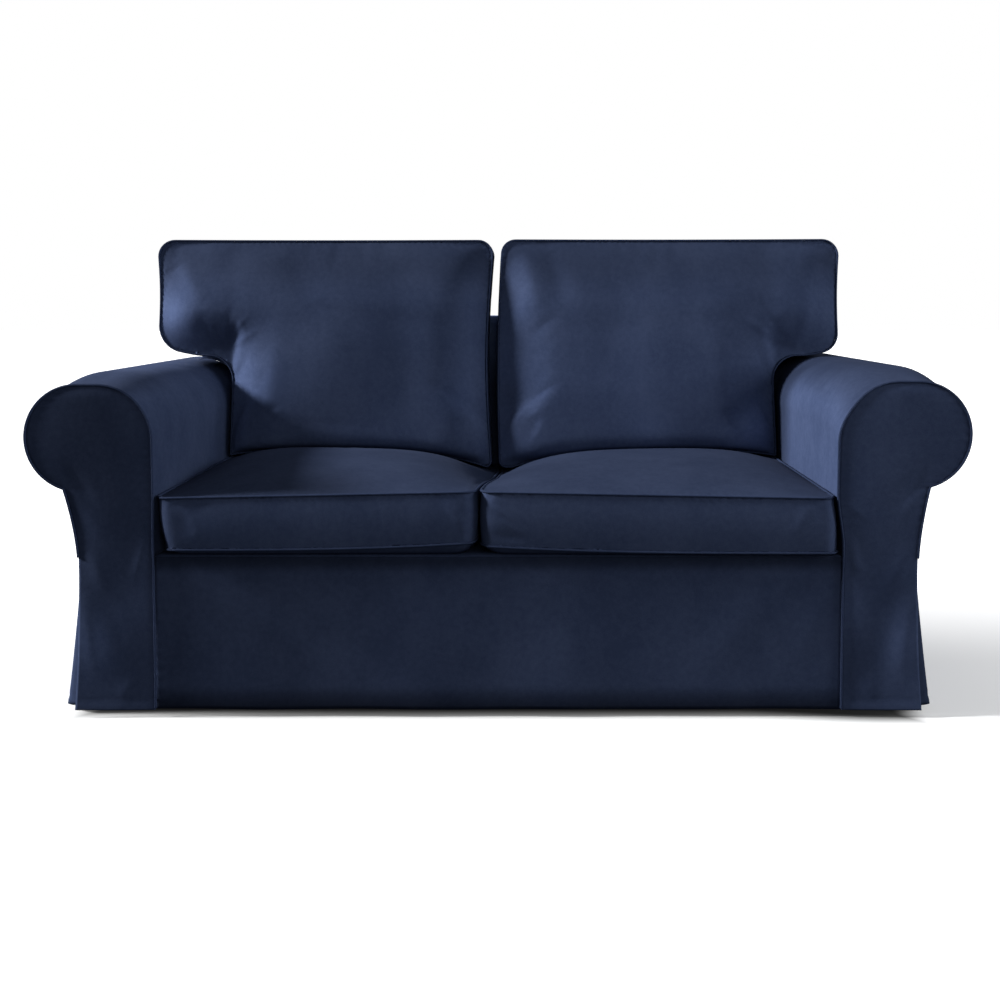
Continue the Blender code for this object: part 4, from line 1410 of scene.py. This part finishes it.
def seat_span(label, y):
    if label == "left":
        return SEAT_LEFT_X - SEAT_FRONT_FULLER * (1 - swell(y)), seat_joint_x(y) - SEAT_JOINT_HALF
    return SEAT_RIGHT_X, seat_joint_x(y) + SEAT_JOINT_HALF


def seat_shares(label, x, y):
    """Place on a seat cushion: across from arm (-1) to joint (1), along from front (-1) to rear (1)."""
    arm_x, joint_x = seat_span(label, y)
    across = 2 * (x - arm_x) / (joint_x - arm_x) - 1
    along = 2 * (y - SEAT_FRONT_Y) / (SEAT_REAR_Y - SEAT_FRONT_Y) - 1
    return max(-1.0, min(1.0, across)), max(-1.0, min(1.0, along))


def seat_seam_z(label, x, y):
    across, along = seat_shares(label, x, y)
    sag = SEAT_SAG * ((1 + across) / 2) ** SAG_POWER * smooth(along, -1.0, SAG_FULL_ALONG)
    return SEAT_SEAM_Z + SEAT_TILT * across * (1 - along) / 2 - sag


def seat_top_z(x, y):
    label = "left" if x < seat_joint_x(y) else "right"
    across, along = seat_shares(label, x, y)
    shifted = across + CROWN_SHIFT * (1 - across ** 2)
    crown = 1 - abs(shifted) ** (CROWN_AT_ARM if shifted < 0 else CROWN_AT_JOINT)
    if along < 0:
        crown *= 1 - abs(along) ** CROWN_ALONG
    else:
        crown *= 1 - smooth(along, PRESSED_FROM, PRESSED_TO)
    return seat_seam_z(label, x, y) + SEAT_CROWN[label] * crown


def seat_foot_z(label, x, y):
    """Height of the lower seam, which rises towards the other cushion."""
    across, _ = seat_shares(label, x, y)
    return SEAT_FOOT_Z[label] + SEAT_FOOT_RISE * ((1 + across) / 2) ** FOOT_RISE_POWER


def seat_foot_shift(label, x, y):
    """How far the foot of the side next to the arm lies to the right of its top."""
    across, _ = seat_shares(label, x, y)
    return SEAT_FOOT_SHIFT[label] * ((1 - across) / 2) ** FOOT_SHIFT_POWER


def seat_outline(label):
    arm_front, joint_front = seat_span(label, SEAT_FRONT_Y)
    arm_rear, joint_rear = seat_span(label, SEAT_REAR_Y)
    corners = [
        (arm_front, SEAT_FRONT_Y, SEAT_CORNER, 0.0),
        (joint_front, SEAT_FRONT_Y, SEAT_CORNER, 0.0),
        (joint_rear, SEAT_REAR_Y, SEAT_CORNER, 0.0),
        (arm_rear, SEAT_REAR_Y, SEAT_CORNER, 0.0),
    ]
    if label == "right":
        corners = [corners[1], corners[0], corners[3], corners[2]]
    return rounded_outline(corners)


def face_inset(ring):
    """How far in from the seam a ring of a cushion's face lies: 1 at the middle."""
    return (1 - ring / FACE_RINGS) ** RING_SPREAD


def add_seat_cushion(label):
    outline = seat_outline(label)
    normals = corner_normals(outline)
    middle = sum(outline, Vector((0, 0))) / len(outline)
    last = 2 * FACE_RINGS + BORDER_RINGS

    def place(ring, segment):
        edge = outline[segment]
        top = seat_seam_z(label, *edge)
        foot = seat_foot_z(label, *edge)
        shift = seat_foot_shift(label, *edge)
        if ring <= FACE_RINGS:
            x, y = edge.lerp(middle, face_inset(ring))
            return Vector((x, y, seat_top_z(x, y) if ring < FACE_RINGS else top))
        if ring < FACE_RINGS + BORDER_RINGS:
            share = (ring - FACE_RINGS) / BORDER_RINGS
            bulge = BORDER_BULGE * math.sin(math.pi * share)
            x, y = edge + normals[segment] * bulge
            return Vector((x + shift * share, y, lerp(top, foot, share)))
        inset = face_inset(last - ring)
        x, y = (edge + Vector((shift, 0))).lerp(middle, inset)
        rounded = 1 - (1 - min(1.0, inset / SEAT_FOOT_ROUND)) ** 2
        return Vector((x, y, lerp(foot, DECK_Z + GAP, rounded)))

    cushion = ring_ball("seat_cushion", len(outline), last, place)
    top_seam = [Vector((x, y, seat_seam_z(label, x, y))) for x, y in outline]
    base_seam = [
        Vector((x + seat_foot_shift(label, x, y), y, seat_foot_z(label, x, y))) for x, y in outline
    ]

    def held(point):
        low = point.z < seat_foot_z(label, point.x, point.y) + SEAT_HELD
        return low or point.y > SEAT_GIVE_Y[1]

    def cap(point):
        return SEAT_GIVE * (1 - smooth(point.y, *SEAT_GIVE_Y)) + LEAST_GIVE

    def in_front(point):
        return point.y < SEAT_FRONT_Y + SEAT_FRONT_REACH

    # Painted light and shade on the top
    def patches(point):
        on_top = smooth(point.z, *SEAT_TOP_Z)
        return on_top * painted_patches(point.x, point.y, SEAT_PAINTED_LIGHT[label])

    def along_top(point, out):
        return (*out, seat_seam_z(label, *point) + PIPING_OUT)

    def along_foot(point, out):
        return (out.x + seat_foot_shift(label, *point), out.y, seat_foot_z(label, *point))

    fill(cushion, (top_seam, base_seam), held, cap, SEAT_FILLING)
    crease_cushion(cushion, top_seam, SEAT_CREASES[label], in_front)
    finish_piece(cushion, f"seat_cushion_{label}", "cushion_velvet", patches)
    add_seam_piping(f"piping_seat_top_{label}", outline, along_top)
    add_seam_piping(f"piping_seat_base_{label}", outline, along_foot)


# ---------------------------------------------------------------- back cushions

def face_seam_y(z):
    return FACE_Y + FACE_LEAN * (z - FACE_Z)


def rear_seam_y(z):
    return BACK_FOOT_Y + math.tan(BACK_LEAN) * (z - DECK_Z) - REAR_SEAM_CLEAR


def lying_z(label, x, y):
    return seat_top_z(x, y) + CUSHION_REST[label]


def seated_outline(label, depth):
    """A back cushion's outline with its lower side raised to lie along the crowned seat."""
    seated = []
    for point in rounded_outline(BACK_CUSHION_CORNERS[label]):
        rest = lying_z(label, point.x, depth(point.y))
        seated.append(Vector((point.x, max(point.y, rest))))
    return seated


def fullness_between(value, start, end, at_start, at_end):
    """Full in the middle, falling to 0 at start and end by a power for each."""
    share = 2 * (value - start) / (end - start) - 1
    return 1 - min(1.0, abs(share)) ** (at_start if share < 0 else at_end)


def face_fullness(label, x, z):
    """How full a back cushion's face is: its body and its upper band with the ear, blended."""
    bottom_arm, bottom_joint, top_joint, top_ear, ear_foot, _ = BACK_CUSHION_CORNERS[label]
    if label == "right":
        bottom_joint, bottom_arm, _, ear_foot, top_ear, top_joint = BACK_CUSHION_CORNERS[label]
    upright = fullness_between(z, bottom_arm[1], top_joint[1], CROWN_FOOT, CROWN_TOP)
    body = fullness_between(x, bottom_arm[0], bottom_joint[0], CROWN_SIDES, CROWN_SIDES) * upright
    band = fullness_between(x, top_ear[0], top_joint[0], CROWN_SIDES, CROWN_SIDES)
    band *= smooth(z - ear_foot[1], *EAR_BAND) * upright
    return (body ** 2 + band ** 2 - body ** 2 * band ** 2) ** 0.5


def add_back_cushion(label):
    front = seated_outline(label, face_seam_y)
    rear = seated_outline(label, rear_seam_y)
    front_normals = corner_normals(front)
    middle = Vector(BACK_CUSHION_CENTRES[label])
    last = 2 * FACE_RINGS + BORDER_RINGS

    def face_point(segment, inset):
        x, z = front[segment].lerp(middle, inset)
        at_foot = 1 - smooth(front[segment].y, *FOOT_EDGE_Z)
        edge = lerp(CROWN_EDGE, CROWN_FOOT_EDGE, at_foot)
        crown = FACE_CROWN[label] * (1 - (1 - inset) ** edge) * face_fullness(label, x, z)
        return Vector((x, face_seam_y(z) - crown, z))

    def rear_point(segment, inset):
        x, z = rear[segment].lerp(middle, inset)
        bulge = REAR_CROWN + REAR_OVERHANG * smooth(z, OVERHANG_FROM, OVERHANG_TO)
        return Vector((x, rear_seam_y(z) + bulge * (1 - (1 - inset) ** CROWN_EDGE), z))

    def place(ring, segment):
        if ring <= FACE_RINGS:
            return face_point(segment, face_inset(ring))
        if ring < FACE_RINGS + BORDER_RINGS:
            share = (ring - FACE_RINGS) / BORDER_RINGS
            x, z = front[segment].lerp(rear[segment], share)
            x, z = Vector((x, z)) + front_normals[segment] * BORDER_BULGE * math.sin(math.pi * share)
            y = lerp(face_seam_y(z), rear_seam_y(z), share)
            return Vector((x, y, max(z, lying_z(label, x, y))))
        return rear_point(segment, face_inset(last - ring))

    cushion = ring_ball("back_cushion", len(front), last, place)
    front_seam = [Vector((x, face_seam_y(z), z)) for x, z in front]
    rear_seam = [Vector((x, rear_seam_y(z), z)) for x, z in rear]

    def held(point):
        low = point.z < lying_z(label, point.x, point.y) + BACK_HELD_FOOT
        behind = point.y > rear_seam_y(point.z) - BACK_HELD_REAR
        return low and point.y > face_seam_y(point.z) or behind and point.z < OVERHANG_FROM

    def cap(point):
        return BACK_GIVE * smooth(point.z, *BACK_GIVE_Z) + LEAST_GIVE

    def in_front(spot):
        return spot.y < face_seam_y(spot.z) - FACE_CLEAR

    # Painted shade near the top of the face, and patches of painted light and shade on it
    def patches(point):
        if not in_front(point):
            return 0.0
        near_top = TOP_SHADE * smooth(point.z, *TOP_SHADE_Z)
        return near_top + painted_patches(point.x, point.z, BACK_PAINTED_LIGHT[label])

    def along_front(point, out):
        return (out.x, face_seam_y(point.y) - PIPING_OUT, out.y)

    def along_rear(point, out):
        return (out.x, rear_seam_y(point.y) + PIPING_OUT, out.y)

    fill(cushion, (front_seam, rear_seam), held, cap, BACK_FILLING)
    crease_cushion(cushion, front_seam, BACK_CREASES[label], in_front)
    finish_piece(cushion, f"back_cushion_{label}", "cushion_velvet", patches)
    add_seam_piping(f"piping_back_front_{label}", front, along_front)
    add_seam_piping(f"piping_back_rear_{label}", rear, along_rear)


# ---------------------------------------------------------------- studio

def add_floor():
    """A white floor that glows a little, painted light that lifts its shadows, but for a painted shadow
    under the hem.
    """
    bpy.ops.object.select_all(action="DESELECT")
    bpy.ops.mesh.primitive_plane_add(size=FLOOR_SIZE, location=(0, 0, -FLOOR_DROP))
    floor = bpy.context.object
    floor.name = "studio_floor"
    material, tree, shader = new_material("studio_floor")
    # The painted shadow under the hem darkens both the floor's colour and its glow
    x, y, _ = axes(tree, "Object")
    forward = ramp(tree, x, UNDER_FORWARD_X, (0.0, UNDER_FORWARD), "SMOOTHSTEP")
    outside = []
    for spot, half in zip((x, maths(tree, "ADD", y, forward)), UNDER_HALF):
        away = maths(tree, "ABSOLUTE", spot)
        edge = (half - UNDER_SOFT, half)
        outside.append(ramp(tree, away, edge, (UNDER_SHADE, 1.0), "SMOOTHSTEP"))
    shade = maths(tree, "MAXIMUM", *outside)
    # The glow is painted light that lifts the floor's shadows, more towards the rear
    glow = ramp(tree, y, FLOOR_GLOW_Y, FLOOR_GLOW, "SMOOTHSTEP")
    tree.links.new(maths(tree, "MULTIPLY", shade, FLOOR_GREY), shader["Base Color"])
    tree.links.new(maths(tree, "MULTIPLY", glow, shade), shader["Emission Strength"])
    shader["Emission Color"].default_value = WHITE
    shader["Roughness"].default_value = FLOOR_ROUGHNESS
    floor.data.materials.append(material)
    floor.visible_diffuse = False
    floor.visible_glossy = False


def add_world():
    """Bright white behind everything, and a much dimmer room light from above for the rest."""
    world = bpy.data.worlds.new("studio")
    bpy.context.scene.world = world
    world.use_nodes = True
    tree = world.node_tree
    backdrop = tree.nodes["Background"]
    backdrop.inputs["Color"].default_value = WHITE
    backdrop.inputs["Strength"].default_value = 1.0
    strength = ramp(tree, axes(tree, "Generated")["Z"], ROOM_HEIGHTS, ROOM_STRENGTH)
    room = new_node(tree, "Background", {"Color": ROOM_TINT, "Strength": strength})[0]
    seen = new_node(tree, "LightPath", {})["Is Camera Ray"]
    mix = new_node(tree, "MixShader", {"Fac": seen, 1: room, 2: backdrop.outputs[0]})
    tree.links.new(mix["Shader"], tree.nodes["World Output"].inputs["Surface"])


def add_camera():
    camera = bpy.data.cameras.new("camera")
    camera.lens = CAMERA_LENS
    camera.sensor_width = CAMERA_SENSOR
    camera.shift_x, camera.shift_y = CAMERA_SHIFT
    bpy.context.scene.camera = place_in_scene("camera", camera, CAMERA_AT, (CAMERA_PITCH, 0, 0))


def add_sun():
    """The window on the left: low, nearly level with the front, with soft-edged shadows."""
    light = bpy.data.lights.new("window", "SUN")
    light.energy = SUN_STRENGTH
    light.angle = SUN_WIDTH
    turn = Vector(SUN_TO_LIGHT).to_track_quat("Z", "Y").to_euler()
    place_in_scene("window", light, turn=turn)


def add_fill_lamps():
    for name, (place, size, watts, colour) in FILL_LAMPS.items():
        light = bpy.data.lights.new(name, "AREA")
        light.shape = "DISK"
        light.size = size
        light.energy = watts
        light.color = colour
        turn = (Vector(FILL_AIM) - Vector(place)).to_track_quat("-Z", "Y").to_euler()
        place_in_scene(name, light, place, turn)


def add_studio():
    add_floor()
    add_world()
    add_camera()
    add_sun()
    add_fill_lamps()
    bpy.context.scene.view_settings.view_transform = "Standard"


# ---------------------------------------------------------------- the whole

add_studio()
add_seat_deck()
add_front_panel()
add_inside_back()
add_outside_back()
for arm in ARMS:
    add_arm_front(arm)
    add_arm_inner(arm)
    add_arm_outer(arm)
    add_arm_piping(arm)
    add_back_side(arm)
    add_seat_cushion(arm.label)
    add_back_cushion(arm.label)
